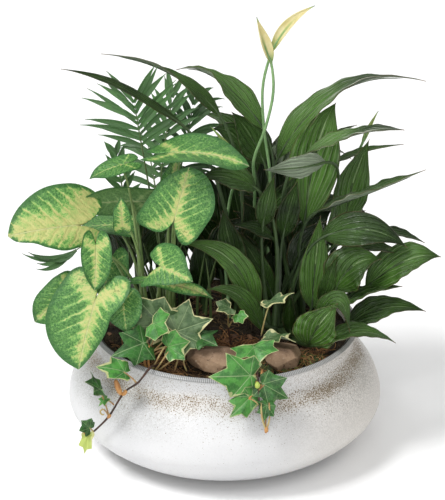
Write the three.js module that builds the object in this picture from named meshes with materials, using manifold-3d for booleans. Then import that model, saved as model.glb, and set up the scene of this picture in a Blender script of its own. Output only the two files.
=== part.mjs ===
// A mixed houseplant planter: a low glazed bowl of soil that holds a peace lily, an arrowhead vine,
// a parlour palm and trailing ivy. Millimetres, +Z up, origin under the bowl's axis, front towards -Y.
import * as THREE from 'three';
import { mergeVertices } from 'three/addons/utils/BufferGeometryUtils.js';
import Module from 'manifold-3d';

const wasm = await Module();
wasm.setup();

// Bowl and soil
const BOWL_OUTSIDE = [
  [92, 0], [117, 13], [137.5, 32], [141.5, 48], [134, 70], [118, 90], [116, 99], [120.5, 113],
];
const BOWL_INSIDE = [
  [114.5, 113], [110, 99], [112, 90], [128, 69], [135.5, 48], [131, 33], [110, 17], [88, 10],
];
const BOWL_FLOOR = 10;
const BOWL_SEGMENTS = 28;
const PROFILE_STEPS = 10;
const SOIL_TOP = 103;
const SEAT_GAP = 0.3;
const SPATHE_SEAT = 0.5;
const ROOT_BOTTOM = 82;
const CROWN_TOP = SOIL_TOP + 5;
const ROOT_SUNK = 3;
// Slivers thinner than this, left where leaves run into each other, are merged away.
const SLIVER = 0.15;

// Leaves, stems and crowns
const LEAF_THICKNESS = 0.8;
const PETIOLE_RADIUS = 1.3;
const IVY_PETIOLE_RADIUS = 0.8;
const IVY_STEM_RADIUS = 1.4;
const BLOOM_STALK_RADIUS = 1.5;
const PALM_STEM_RADIUS = 1.4;
const CROWN_SIDES = 6;
const STEM_SIDES = 4;
const BLADE_STATIONS = [-0.03, 0.13, 0.38, 0.7, 1];
const NARROW_BLADE_STATIONS = [-0.03, 0.22, 0.6, 1];
const NARROW_BLADE = 19;
const SMALL_LEAF = 56;
const LEAST_HALF_WIDTH = 0.5;

// A lance-shaped blade is fullest this far along, and these powers round its base and thin its tip.
const FULLEST = 0.36;
const BASE_POWER = 0.8;
const TIP_POWER = 1.42;
const LILY_FOLD = 0.22;
const LILY_WAVE = 0.1;
const WAVES_ALONG = 1.7;
const SPATHE_FOLD = 0.6;

// Where a lily's stalk ends before its blade, how far it keeps the blade's heading, and its groove.
const PETIOLE_END = -0.06;
const PETIOLE_SWEEP = 0.28;
const PETIOLE_GROOVE = [0.3, 0, 0.3];

// An arching petiole turns over this far out and this far up; it meets the blade this far past its notch.
const ARCH_OUT = 0.3;
const ARCH_UP = 0.85;
const UNDER_LEAF = 0.08;
const ARROWHEAD_BOW = 0.22;
const ARROWHEAD_FOLD = 0.12;
const IVY_BOW = 0.2;
const IVY_FOLD = 0.15;
const IVY_KNEE = 0.12;

// Peace lily: every crown has its place on the soil, its radius and its leaves.
// A leaf is the base, middle and tip of its midrib, its full width and the way its upper face looks,
// and then the way it looks at its tip, where the blade twists.
const UP = [0, 0, 1];
const FRONT = [0, -1, 0.35];
const LILIES = [
  { name: 'lily_left', at: [18, 45], radius: 8, leaves: [
    [[25, 54, 275], [2, 60, 318], [-41, 50, 325], 28, [0.3, -1, 0.6], [0, 0.4, 1]],
    [[-1, 40, 296], [-46, 32, 339], [-107, 20, 358], 17, FRONT, [0, 0.2, 1]],
    [[-34, 16, 293], [-90, -6, 341], [-142, -22, 361], 9, [0, -0.7, 1]],
    [[45, 60, 250], [105, 58, 317], [178, 40, 325], 33, [0, -0.8, 0.6], [0, 0.9, 2.8]],
    [[2, 50, 140], [-14, 52, 175], [-34, 50, 200], 30, FRONT],
    [[8, 60, 125], [-14, 64, 150], [-44, 66, 165], 28, [0, -1, 0.6]],
    [[34, 38, 201], [50, 38, 220], [67, 38, 240], 16, FRONT],
  ] },
  { name: 'lily_right', at: [64, 38], radius: 10, leaves: [
    [[71, 40, 192], [84, 46, 261], [99, 45, 306], 43, FRONT],
    [[107, 45, 187], [114, 50, 227], [129, 55, 267], 31, [0.2, -1, 0.3]],
    [[69, 20, 264], [114, 10, 290], [157, -5, 295], 24, UP],
    [[91, 60, 236], [121, 60, 252], [161, 60, 260], 10, UP],
    [[89, 15, 261], [64, 0, 262], [34, -10, 264], 24, [0, 1, 0.1]],
    [[83, 15, 217], [127, 5, 240], [176, 0, 259], 28, [0, 0.2, 1]],
    [[108, 20, 184], [148, 15, 192], [179, 10, 185], 24, UP],
  ] },
  { name: 'lily_front', at: [50, 0], radius: 13, leaves: [
    [[86, -10, 199], [125, -18, 211], [164, -25, 199], 27, [0, -0.9, 0.5]],
    [[126, -15, 153], [159, -22, 183], [191, -25, 187], 36, [0, -0.5, 0.85]],
    [[98, -20, 153], [112, -25, 182], [138, -30, 187], 31, [0, -0.7, 0.7]],
    [[97, -20, 136], [127, -28, 160], [156, -35, 161], 22, UP],
    [[106, -25, 119], [141, -32, 140], [178, -40, 141], 34, [0, -0.4, 0.9]],
    [[79, -50, 109], [116, -56, 126], [150, -55, 114], 30, [0, -0.1, 1]],
    [[69, -50, 113], [77, -61, 138], [92, -64, 161], 34, FRONT],
    [[81, -46, 133], [99, -57, 159], [110, -62, 131], 22, [0.3, -0.6, 1]],
    [[78, -10, 130], [81, -5, 173], [85, 0, 216], 27, FRONT],
    [[27, -20, 123], [6, -35, 187], [-41, -40, 207], 27, [0.3, -0.8, 0.6]],
    [[33, -35, 120], [13, -45, 158], [-16, -55, 169], 18, [0.3, -0.8, 0.6]],
    [[45, 10, 129], [29, 12, 165], [10, 15, 196], 18, FRONT],
    [[52, 15, 188], [58, 15, 217], [65, 15, 244], 20, FRONT],
    [[59, -30, 113], [57, -35, 138], [58, -38, 163], 12, FRONT],
    [[28, 10, 236], [9, 0, 249], [-15, -10, 253], 22, UP],
    [[34, 10, 202], [38, 10, 225], [44, 12, 250], 18, FRONT],
    [[43, 16, 187], [27, 8, 200], [5, 0, 207], 16, [0, -0.6, 1]],
    [[14, 4, 148], [4, 0, 192], [-2, -2, 222], 24, FRONT],
    [[87, -15, 135], [92, -20, 162], [100, -20, 187], 14, FRONT],
    [[94, 2, 170], [127, -4, 185], [161, -8, 180], 22, UP],
  ] },
  { name: 'lily_back', at: [42, 80], radius: 13, leaves: [
    [[30, 95, 200], [10, 115, 250], [-25, 130, 262], 34, UP],
    [[60, 95, 190], [85, 120, 235], [120, 135, 230], 32, UP],
    [[45, 100, 170], [50, 128, 205], [60, 150, 190], 30, UP],
    [[20, 95, 160], [0, 120, 185], [-30, 140, 170], 28, UP],
    [[75, 85, 170], [110, 100, 195], [145, 105, 180], 30, UP],
    [[50, 92, 205], [52, 106, 245], [44, 116, 272], 32, [0, 1, 0.3]],
    [[80, 88, 140], [112, 112, 150], [138, 125, 128], 26, UP],
    [[25, 98, 130], [8, 124, 142], [-8, 140, 122], 24, UP],
    [[70, 90, 210], [94, 98, 247], [121, 100, 263], 26, UP],
    [[27, 74, 229], [10, 80, 259], [-11, 78, 268], 30, [0.4, -1, 0.4]],
    [[30, 63, 236], [17, 66, 260], [5, 64, 288], 30, [0.3, -1, 0.2]],
    [[5, 95, 120], [-22, 112, 140], [-52, 124, 150], 28, [0, -0.6, 1]],
    [[22, 70, 150], [9, 78, 205], [0, 84, 250], 34, FRONT],
    [[46, 78, 150], [42, 86, 205], [40, 92, 252], 36, FRONT],
    [[70, 80, 140], [73, 88, 195], [78, 92, 240], 34, FRONT],
    [[-4, 94, 145], [-12, 108, 182], [-24, 118, 216], 30, FRONT],
  ] },
];

// Peace lily blooms: the stalk's points above the soil, then the spathe as a leaf row.
const BLOOMS = [
  { name: 'bloom_left', at: [26, 24], stalk: [[28, 30, 247], [39, 36, 292], [44, 40, 320]],
    spathe: [[41, 42, 344], [33, 44, 365], [28, 46, 386], 13, [1, -1, 0]] },
  { name: 'bloom_right', at: [36, 20], stalk: [[40, 24, 180], [40, 34, 235], [35, 50, 280], [34, 52, 320]],
    spathe: [[41, 54, 350], [57, 54, 377], [79, 50, 395], 12, [-0.6, -1, 0.6]] },
  { name: 'bud_right', at: [84, 50], stalk: [[104, 66, 200], [114, 70, 233]],
    spathe: [[124, 70, 256], [130, 70, 272], [138, 68, 289], 5, FRONT] },
  { name: 'bud_left', at: [4, 28], stalk: [[8, 30, 200], [14, 33, 238]],
    spathe: [[14, 34, 255], [1, 30, 273], [-13, 26, 291], 5, FRONT] },
];

// Arrowhead vine: petiole end, tip, full width and face of every leaf, by stem.
const ARROWHEADS = [
  { name: 'arrowhead_left', at: [-70, -12], radius: 6, leaves: [
    [[-132, -40, 227], [-187, -55, 223], 59, [-0.1, -0.75, 0.6]],
    [[-144, -55, 169], [-168, -60, 143], 38, [-0.2, -1, 0.3]],
    [[-108, -60, 217], [-109, -72, 182], 20, [0.4, -1, 0.1]],
    [[-89, -50, 230], [-90, -52, 255], 16, FRONT],
    [[-96, 14, 200], [-138, 22, 190], 46, UP],
    [[-88, -15, 270], [-115, -22, 259], 26, [0, -0.4, 1]],
    [[-82, -15, 240], [-127, -25, 224], 40, [0, 0.5, 0.85]],
  ] },
  { name: 'arrowhead_middle', at: [-50, -4], radius: 5, leaves: [
    [[-43, -45, 235], [-31, -30, 275], 74, [0, -1, 0.45]],
    [[-41, -30, 289], [21, -45, 282], 64, [0, -0.1, 1]],
    [[-48, -8, 238], [-42, -3, 272], 22, FRONT],
  ] },
  { name: 'arrowhead_front', at: [-60, -34], radius: 5, leaves: [
    [[-113, -75, 166], [-127, -95, 111], 75, [-0.2, -1, 0.35]],
    [[-54, -60, 193], [-28, -75, 186], 38, [0, -1, 0.5]],
    [[-89, -66, 162], [-86, -80, 140], 32, FRONT],
    [[-60, -44, 171], [-10, -50, 158], 16, [0, -0.2, 1]],
  ] },
];

// Arrowhead outline on one side of the midrib: degrees from the tip, distance from the petiole's end.
const ARROWHEAD_EDGE = [
  [0, 1], [14, 0.89], [36, 0.76], [68, 0.62], [108, 0.58], [140, 0.58], [164, 0.42], [180, 0.06],
];

// Ivy outline of five pointed lobes, measured the same way.
const IVY_EDGE = [[0, 1], [20, 0.58], [46, 0.8], [68, 0.44], [98, 0.56], [138, 0.32], [180, 0.12]];

// Parlour palm: root on the soil, bend and end of each frond's rib, the way it faces, leaflet length.
const FRONDS = [
  { at: [-52, 40], bend: [-67, 30, 225], end: [-80, 18, 321], face: [0, -1, 0.4], leaflet: 52 },
  { at: [-45, 50], bend: [-58, 66, 215], end: [-56, 78, 312], face: [-0.2, -1, 0.3], leaflet: 36 },
  { at: [-36, 52], bend: [-42, 88, 205], end: [-30, 96, 290], face: [0.2, -1, 0.3], leaflet: 36 },
  { at: [-62, 46], bend: [-98, 50, 180], end: [-140, 40, 161], face: [0, -0.4, 1], leaflet: 34 },
  { at: [-58, 34], bend: [-86, 44, 195], end: [-102, 46, 262], face: [0.2, -1, 0.5], leaflet: 30 },
  { at: [-48, 60], bend: [-62, 96, 190], end: [-72, 138, 232], face: [0, -0.5, 1], leaflet: 44 },
];
const LEAFLET_PAIRS = 8;
const LEAFLET_WIDTH = 5;
const LEAFLET_DROOP = 0.14;
const LEAFLET_FULLEST = 0.42;
const RIB_HALF_WIDTH = 0.8 * PALM_STEM_RADIUS;

// Leaflets start this far up the rib and spread from it by these angles at the bottom and the top.
const FROND_START = 0.71;
const SPREAD_LOW = 1.4;
const SPREAD_HIGH = 0.75;
const SPREAD_SWAY = 0.25;

// Ivy: each plant's stems, petioles' roots and leaves (petiole's root, petiole's end, tip, width, face).
const IVIES = [
  { name: 'ivy_trail', at: [-57, -78],
    stem: [
      [-60, -86, 110], [-65, -104, 117], [-75, -110, 106], [-87, -109, 96], [-101, -108, 72], [-117, -99, 50],
    ],
    leaves: [
      [[-76, -110, 105], [-87, -106, 114], [-111, -110, 122], 24, [0, -0.8, 1]],
      [[-101, -108, 72], [-110, -116, 102], [-120, -123, 112], 28, [0.2, 0.4, 1]],
      [[-96, -109, 83], [-103, -112, 91], [-110, -116, 86], 9, [0, -0.6, 1]],
      [[-115, -100, 52], [-117, -102, 57], [-124, -106, 67], 15, [0.5, -1, 0.3]],
      [[-117, -99, 50], [-118, -102, 50], [-121, -105, 35], 15, [-0.3, -1, 0.3]],
    ] },
  { name: 'ivy_left', at: [-66, -70],
    stem: [[-66, -74, 118], [-66, -77, 132]],
    leaves: [
      [[-66, -76, 126], [-71, -84, 131], [-98, -98, 126], 34, [0.1, -1, 0.7]],
      [[-66, -77, 130], [-62, -76, 146], [-48, -80, 140], 30, [0, -1, 0.8]],
      [[-66, -74, 116], [-49, -82, 127], [-30, -84, 133], 28, [0, -1, 0.5]],
      [[-66, -74, 120], [-54, -64, 138], [-80, -56, 164], 44, [0, -1, 0.4]],
      [[-66, -74, 114], [-42, -70, 136], [-10, -66, 146], 46, [0, -1, 0.5]],
      [[-66, -74, 112], [-27, -68, 130], [-6, -82, 127], 26, [0, -0.5, 1]],
    ] },
  { name: 'ivy_front', at: [27, -94],
    stem: [[27, -100, 116], [28, -118, 119], [29, -130, 107], [30, -136, 97], [35, -143, 77]],
    leaves: [
      [[27, -96, 110], [25, -92, 131], [29, -106, 121], 42, [0, -0.7, 1]],
      [[28, -120, 117], [22, -123, 119], [-14, -128, 120], 40, [0, -1, 0.4]],
      [[30, -136, 97], [22, -132, 103], [4, -142, 88], 20, [0, -1, 0.3]],
      [[29, -130, 108], [33, -127, 113], [55, -131, 101], 34, [0, -1, 0.4]],
      [[35, -143, 77], [36, -138, 98], [33, -145, 85], 16, [0, -1, 0.3]],
    ] },
  { name: 'ivy_middle', at: [31, -44],
    stem: [[31, -45, 112], [32, -46, 120]],
    leaves: [
      [[32, -46, 119], [38, -50, 153], [62, -49, 160], 24, [-0.2, 0.1, 1]],
      [[32, -46, 116], [38, -66, 127], [62, -78, 130], 22, [0, 0, 1]],
    ] },
  { name: 'ivy_small', at: [5, -24],
    stem: [[4, -26, 112], [3, -30, 122]],
    leaves: [
      [[3, -30, 121], [4, -52, 150], [-8, -60, 150], 18, [0, -0.6, 1]],
      [[3, -30, 120], [12, -54, 144], [16, -60, 138], 14, FRONT],
    ] },
];

// Stones lying on the soil: centre, half length, half depth, height and turn.
const STONES = [
  { name: 'stone_left', at: [-10, -75], size: [27, 15, 20], turn: -0.45 },
  { name: 'stone_right', at: [52, -69], size: [17, 17, 19], turn: 0.3 },
];

const finish = (colour, roughness, metalness = 0) =>
  new THREE.MeshStandardMaterial({ color: colour, roughness, metalness, side: THREE.DoubleSide });
const GLAZE = finish(0xe4e0d8, 0.35);
const SOIL = finish(0x2b2018, 0.95);
const STONE = finish(0x8f6a5a, 0.8);
const LILY_GREEN = finish(0x2f5a24, 0.4);
const SPATHE_CREAM = finish(0xece3a0, 0.5);
const STALK_GREEN = finish(0x6f9a3c, 0.5);
const ARROWHEAD_GREEN = finish(0x8fb45a, 0.5);
const PALM_GREEN = finish(0x24502a, 0.5);
const IVY_GREEN = finish(0x4d8a48, 0.5);

const vec = ([x, y, z]) => new THREE.Vector3(x, y, z);

// The same number between 0 and 1 for the same seed, every time.
function seeded(seed) {
  const value = Math.sin(seed * 12.9898) * 43758.5453;
  return value - Math.floor(value);
}

// A closed solid from a geometry whose shared corners are merged.
function solid(geometry) {
  const bare = geometry.clone();
  bare.deleteAttribute('normal');
  bare.deleteAttribute('uv');
  const merged = mergeVertices(bare, 1e-4);
  const mesh = new wasm.Mesh({
    numProp: 3,
    vertProperties: new Float32Array(merged.attributes.position.array),
    triVerts: new Uint32Array(merged.index.array),
  });
  return new wasm.Manifold(mesh);
}

function fused(solids) {
  return solids.reduce((whole, piece) => whole.add(piece));
}

function meshOf(name, body, material) {
  const { vertProperties, triVerts, numProp } = body.simplify(SLIVER).getMesh();
  const corners = new Float32Array((vertProperties.length / numProp) * 3);
  for (let i = 0; i < corners.length / 3; i += 1) {
    for (let axis = 0; axis < 3; axis += 1) corners[3 * i + axis] = vertProperties[numProp * i + axis];
  }
  const geometry = new THREE.BufferGeometry();
  geometry.setAttribute('position', new THREE.BufferAttribute(corners, 3));
  geometry.setIndex(new THREE.BufferAttribute(new Uint32Array(triVerts), 1));
  geometry.computeVertexNormals();
  const mesh = new THREE.Mesh(geometry, material);
  mesh.name = name;
  return mesh;
}

function geometryFrom(corners, triangles) {
  const geometry = new THREE.BufferGeometry();
  geometry.setAttribute('position', new THREE.Float32BufferAttribute(corners.flatMap((p) => p.toArray()), 3));
  geometry.setIndex(triangles.flat());
  return geometry;
}

// A turned shape from [radius, height] pairs that start and end on the axis.
function turned(profile, segments) {
  const geometry = new THREE.LatheGeometry(profile.map(([r, z]) => new THREE.Vector2(r, z)), segments);
  geometry.rotateX(Math.PI / 2);
  return solid(geometry);
}

function plug([x, y], radius, bottom, top, sides = CROWN_SIDES) {
  const geometry = new THREE.CylinderGeometry(radius, radius, top - bottom, sides);
  geometry.rotateX(Math.PI / 2);
  geometry.translate(x, y, (top + bottom) / 2);
  return solid(geometry);
}

// A stem of even thickness along a curve.
function stemAlong(curve, radius, steps, sides = STEM_SIDES) {
  const ring = [];
  for (let i = 0; i < sides; i += 1) {
    const angle = (2 * Math.PI * i) / sides;
    ring.push(new THREE.Vector2(radius * Math.cos(angle), radius * Math.sin(angle)));
  }
  const options = { steps, bevelEnabled: false, extrudePath: curve };
  return solid(new THREE.ExtrudeGeometry(new THREE.Shape(ring), options));
}

// The arc that starts at a, passes m half way and ends at b.
function arcThrough(a, m, b) {
  const control = m.clone().multiplyScalar(2).addScaledVector(a, -0.5).addScaledVector(b, -0.5);
  return new THREE.QuadraticBezierCurve3(a, control, b);
}

// A sheet of even thickness from its upper face: points, their normals, triangles and the border in turn.
// Both faces are split alike.
function thickened(points, normals, faces, border) {
  const corners = [0.5, -0.5].flatMap((side) =>
    points.map((point, i) => point.clone().addScaledVector(normals[i], side * LEAF_THICKNESS)));
  const under = points.length;
  const triangles = faces.flatMap(([a, b, c]) => [[a, b, c], [under + c, under + b, under + a]]);
  border.forEach((here, k) => {
    const next = border[(k + 1) % border.length];
    triangles.push([under + here, under + next, next], [under + here, next, here]);
  });
  return solid(geometryFrom(corners, triangles));
}

// Half the width of a lance-shaped blade at a share t of its length: fullest a third along, long thin tip.
function lanceShape(t) {
  const share = Math.min(Math.max(t, 0), 1);
  const rise = (share / FULLEST) ** BASE_POWER;
  const fall = ((1 - share) / (1 - FULLEST)) ** TIP_POWER;
  return rise * fall;
}

// One cross row of a folded sheet: its left edge, midrib and right edge, and their normals.
function foldedRow(centre, aside, normal, half, lifts, thickness) {
  const scaled = normal.clone().multiplyScalar(thickness / LEAF_THICKNESS);
  return [-1, 0, 1].map((edge, i) => [
    centre.clone().addScaledVector(aside, edge * half).addScaledVector(normal, lifts[i] * half), scaled]);
}

// The closed sheet that runs through a list of such rows.
function foldedSheet(rows) {
  const faces = [];
  for (let i = 1; i < rows.length; i += 1) {
    for (const a of [3 * i - 3, 3 * i - 2]) faces.push([a, a + 1, a + 4], [a, a + 4, a + 3]);
  }
  const last = rows.length - 1;
  const right = rows.map((row, i) => 3 * i + 2);
  const left = rows.map((row, i) => 3 * (last - i));
  const all = rows.flat();
  return thickened(all.map(([point]) => point), all.map(([, normal]) => normal), faces,
    [1, ...right, 3 * last + 1, ...left]);
}

// The rows of a lance-shaped blade along an arc, folded at its midrib, with softly waved edges.
function bladeRows([base, middle, tip, width, face, tipFace = face], fold, wave, seed) {
  const rib = arcThrough(vec(base), vec(middle), vec(tip));
  const stations = width < NARROW_BLADE ? NARROW_BLADE_STATIONS : BLADE_STATIONS;
  return stations.map((t) => {
    const look = vec(face).lerp(vec(tipFace), Math.max(t, 0));
    const along = rib.getTangent(Math.max(t, 0.001));
    const aside = new THREE.Vector3().crossVectors(along, look).normalize();
    const normal = new THREE.Vector3().crossVectors(aside, along).normalize();
    const half = Math.max((width / 2) * lanceShape(t), LEAST_HALF_WIDTH);
    const lifts = [-1, 0, 1].map((edge) =>
      Math.abs(edge) * (fold + wave * Math.sin(2 * Math.PI * (WAVES_ALONG * t + seeded(seed + edge)))));
    return foldedRow(rib.getPoint(t), aside, normal, half, lifts, LEAF_THICKNESS);
  });
}

// The rows of a leaf stalk from its root to the base of a blade, meeting the midrib's line.
function petioleRows(root, [base, middle, tip, , face]) {
  const rib = arcThrough(vec(base), vec(middle), vec(tip));
  const end = rib.getPoint(PETIOLE_END);
  const along = rib.getTangent(0.001);
  const side = new THREE.Vector3().crossVectors(along, vec(face));
  const control = end.clone().addScaledVector(along, -PETIOLE_SWEEP * end.distanceTo(root));
  control.z = Math.max(control.z, CROWN_TOP);
  const stalk = new THREE.QuadraticBezierCurve3(root, control, end);
  return [0, 0.5, 1].map((t) => {
    const up = stalk.getTangent(t);
    const aside = side.clone().addScaledVector(up, -side.dot(up)).normalize();
    const normal = new THREE.Vector3().crossVectors(aside, up);
    return foldedRow(stalk.getPoint(t), aside, normal, PETIOLE_RADIUS, PETIOLE_GROOVE, 2 * PETIOLE_RADIUS);
  });
}

// A stem's straight foot in its hole, up to just above the soil.
function footPoints([x, y]) {
  return [ROOT_BOTTOM, SOIL_TOP - 8, SOIL_TOP + 3].map((z) => new THREE.Vector3(x, y, z));
}

// A clump's crown in its hole, its flat top just above the soil.
function crown(at, radius) {
  return plug(at, radius, ROOT_BOTTOM, CROWN_TOP);
}

// The roots of a crown's leaf stalks, in the order in which their leaves stand round it.
function rootsOn([x, y], radius, targets) {
  const headings = targets.map(([tx, ty]) => Math.atan2(ty - y, tx - x));
  const order = headings.map((heading, i) => i).sort((i, j) => headings[i] - headings[j]);
  return headings.map((heading, i) => {
    const rank = order.indexOf(i);
    const angle = headings[order[0]] + (2 * Math.PI * rank) / order.length;
    const out = radius * (rank % 2 ? 0.75 : 0.4);
    return new THREE.Vector3(x + out * Math.cos(angle), y + out * Math.sin(angle), CROWN_TOP - ROOT_SUNK);
  });
}

function lilyCrown({ name, at, radius, leaves }, seed) {
  const pieces = [crown(at, radius)];
  const roots = rootsOn(at, radius, leaves.map(([base]) => base));
  leaves.forEach((leaf, i) => {
    const stalk = petioleRows(roots[i], leaf);
    pieces.push(foldedSheet([...stalk, ...bladeRows(leaf, LILY_FOLD, LILY_WAVE, seed + 3 * i).slice(1)]));
  });
  return meshOf(name, fused(pieces), LILY_GREEN);
}

// A leaf spread out from its petiole's end: polar outline, arched along its length and folded at the midrib.
function fanBlade(edge, [attach, tip, width, face], bow, fold, rings) {
  const centre = vec(attach);
  const along = vec(tip).sub(centre);
  const length = along.length();
  along.normalize();
  const aside = new THREE.Vector3().crossVectors(along, vec(face)).normalize();
  const normal = new THREE.Vector3().crossVectors(aside, along);
  const radians = (degrees) => (degrees * Math.PI) / 180;
  const widest = Math.max(...edge.map(([degrees, reach]) => reach * Math.sin(radians(degrees))));
  const left = edge.map(([degrees, reach]) => [radians(degrees), reach]);
  const right = left.slice(1, -1).reverse().map(([angle, reach]) => [-angle, reach]);
  const outline = [...left, ...right];
  const place = (angle, reach) => {
    const u = reach * Math.cos(angle);
    const v = (-reach * Math.sin(angle) * width) / (2 * widest * length);
    const lift = bow * (u - u * u) + fold * Math.abs(v);
    return centre.clone().addScaledVector(along, u * length).addScaledVector(aside, v * length)
      .addScaledVector(normal, lift * length);
  };
  const loops = rings.map((share) => outline.map(([angle, reach]) => place(angle, share * reach)));
  const sheet = [centre, ...loops.flat()];
  const count = outline.length;
  const at = (ring, k) => 1 + ring * count + (k % count);
  const faces = [];
  for (let k = 0; k < count; k += 1) {
    faces.push([0, at(0, k), at(0, k + 1)]);
    for (let ring = 1; ring < rings.length; ring += 1) {
      faces.push([at(ring - 1, k), at(ring, k), at(ring, k + 1)]);
      faces.push([at(ring - 1, k), at(ring, k + 1), at(ring - 1, k + 1)]);
    }
  }
  const border = outline.map((point, k) => at(rings.length - 1, k));
  return thickened(sheet, sheet.map(() => normal), faces, border);
}

// The point just past a spread leaf's petiole end, on its midrib.
function underLeaf([attach, tip]) {
  return vec(attach).lerp(vec(tip), UNDER_LEAF);
}

// An arrowhead vine's leaf stalk: steep from the soil, then arching out to its leaf.
function archingPetiole(root, end) {
  const control = new THREE.Vector3(
    root.x + ARCH_OUT * (end.x - root.x),
    root.y + ARCH_OUT * (end.y - root.y),
    root.z + ARCH_UP * (end.z - root.z),
  );
  return stemAlong(new THREE.QuadraticBezierCurve3(root, control, end), PETIOLE_RADIUS, 3, 3);
}

function arrowheadStem({ name, at, radius, leaves }) {
  const pieces = [crown(at, radius)];
  const roots = rootsOn(at, radius, leaves.map(([attach]) => attach));
  leaves.forEach((leaf, i) => {
    const rings = leaf[2] < SMALL_LEAF ? [1] : [0.5, 1];
    pieces.push(archingPetiole(roots[i], underLeaf(leaf)));
    pieces.push(fanBlade(ARROWHEAD_EDGE, leaf, ARROWHEAD_BOW, ARROWHEAD_FOLD, rings));
  });
  return meshOf(name, fused(pieces), ARROWHEAD_GREEN);
}

// A leaflet's share of the longest, by its place on the blade: longest below the middle.
function leafletShare(share) {
  return 0.62 + 0.38 * Math.sin(Math.PI * (0.15 + 0.75 * share));
}

// A frond's blade: leaflets in pairs, left and right of a narrow rib, cut out of one thin arched sheet.
function frondBlade(rib, look, longest, seed) {
  const points = [];
  const normals = [];
  const faces = [];
  const sides = { left: [], right: [] };
  const put = (point, normal) => points.push(point) && normals.push(normal) && points.length - 1;
  const stations = 2 * LEAFLET_PAIRS;
  let below = null;
  for (let k = 0; k <= stations; k += 1) {
    const share = k / stations;
    const t = FROND_START + (1 - FROND_START) * share;
    const centre = rib.getPoint(t);
    const along = rib.getTangent(t);
    const aside = new THREE.Vector3().crossVectors(along, look).normalize();
    const normal = new THREE.Vector3().crossVectors(aside, along);
    const edge = (side) => put(centre.clone().addScaledVector(aside, side * RIB_HALF_WIDTH), normal);
    const here = { left: edge(-1), right: edge(1) };
    if (below) {
      faces.push([below.left, below.right, here.right], [below.left, here.right, here.left]);
    }
    for (const [name, side] of [['left', -1], ['right', 1]]) {
      if (k % 2 === 1) {
        const sway = SPREAD_SWAY * (seeded(seed + k + 0.5 * side) - 0.5);
        const spread = (SPREAD_LOW + (SPREAD_HIGH - SPREAD_LOW) * share + sway) * side;
        const heading = along.clone().multiplyScalar(Math.cos(spread));
        heading.addScaledVector(aside, Math.sin(spread));
        const across = new THREE.Vector3().crossVectors(heading, normal);
        across.multiplyScalar((side * LEAFLET_WIDTH) / 2);
        const length = longest * leafletShare(share);
        const [half, tip] = [LEAFLET_FULLEST, 1].map((reach) => {
          const point = centre.clone().addScaledVector(heading, reach * length);
          point.z -= LEAFLET_DROOP * length * reach * reach;
          return point;
        });
        const low = put(half.clone().add(across), normal);
        const point = put(tip, normal);
        const high = put(half.clone().sub(across), normal);
        const leaflet = [[below[name], low, high], [below[name], high, here[name]], [low, point, high]];
        faces.push(...leaflet.map(([a, b, c]) => (side > 0 ? [a, b, c] : [c, b, a])));
        sides[name].push(low, point, high);
      }
      sides[name].push(here[name]);
    }
    below = here;
  }
  return thickened(points, normals, faces, [...sides.right, ...sides.left.reverse()]);
}

function palmFrond({ at, bend, end, face, leaflet }, index) {
  const rib = new THREE.CatmullRomCurve3([...footPoints(at), vec(bend), vec(end)]);
  const shares = [0, 0.25, 0.5, 0.62, FROND_START + 0.02];
  const stalk = new THREE.CatmullRomCurve3(shares.map((t) => rib.getPoint(t)));
  const pieces = [stemAlong(stalk, PALM_STEM_RADIUS, 6), frondBlade(rib, vec(face), leaflet, 40 * index)];
  return meshOf(`palm_frond_${index + 1}`, fused(pieces), PALM_GREEN);
}

function ivyPlant({ name, at, stem, leaves }) {
  const runner = new THREE.CatmullRomCurve3([...footPoints(at), ...stem.map(vec)], false, 'centripetal');
  const pieces = [stemAlong(runner, IVY_STEM_RADIUS, 3 + 2 * stem.length)];
  leaves.forEach(([root, attach, tip, width, face]) => {
    const start = vec(root);
    const end = underLeaf([attach, tip]);
    const knee = start.clone().lerp(end, 0.5);
    knee.z += IVY_KNEE * start.distanceTo(end);
    pieces.push(stemAlong(new THREE.QuadraticBezierCurve3(start, knee, end), IVY_PETIOLE_RADIUS, 2, 3));
    pieces.push(fanBlade(IVY_EDGE, [attach, tip, width, face], IVY_BOW, IVY_FOLD, [1]));
  });
  return meshOf(name, fused(pieces), IVY_GREEN);
}

// A bloom's stalk ends just under its spathe.
function bloomPieces({ name, at, stalk, spathe }, seed) {
  const rib = arcThrough(vec(spathe[0]), vec(spathe[1]), vec(spathe[2]));
  const seat = rib.getPoint(BLADE_STATIONS[0]).addScaledVector(rib.getTangent(0), -SPATHE_SEAT);
  const curve = new THREE.CatmullRomCurve3([...footPoints(at), ...stalk.map(vec), seat]);
  return [
    meshOf(`${name}_stalk`, stemAlong(curve, BLOOM_STALK_RADIUS, 9), STALK_GREEN),
    meshOf(`${name}_spathe`, foldedSheet(bladeRows(spathe, SPATHE_FOLD, 0, seed)), SPATHE_CREAM),
  ];
}

// A water-worn stone with a flat underside.
function stone({ name, at: [x, y], size: [a, b, height], turn }) {
  const geometry = new THREE.IcosahedronGeometry(1, 2);
  const corners = geometry.attributes.position;
  const corner = new THREE.Vector3();
  const flat = -0.7;
  for (let i = 0; i < corners.count; i += 1) {
    corner.fromBufferAttribute(corners, i);
    const waves = 0.07 * Math.sin(3.1 * corner.x + 1) * Math.cos(2.7 * corner.y);
    const bump = 1 + waves + 0.05 * Math.sin(4.3 * corner.z);
    corner.multiplyScalar(bump);
    corner.z = Math.max(corner.z, flat);
    corner.multiply(new THREE.Vector3(a, b, height / (1 - flat)));
    corner.applyAxisAngle(new THREE.Vector3(0, 0, 1), turn);
    corners.setXYZ(i, corner.x, corner.y, corner.z);
  }
  const lift = SOIL_TOP + SEAT_GAP - flat * (height / (1 - flat));
  geometry.translate(x, y, lift);
  return meshOf(name, solid(geometry), STONE);
}

function curvePoints(profile) {
  const curve = new THREE.SplineCurve(profile.map(([r, z]) => new THREE.Vector2(r, z)));
  return curve.getPoints(PROFILE_STEPS).map((point) => [point.x, point.y]);
}

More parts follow.
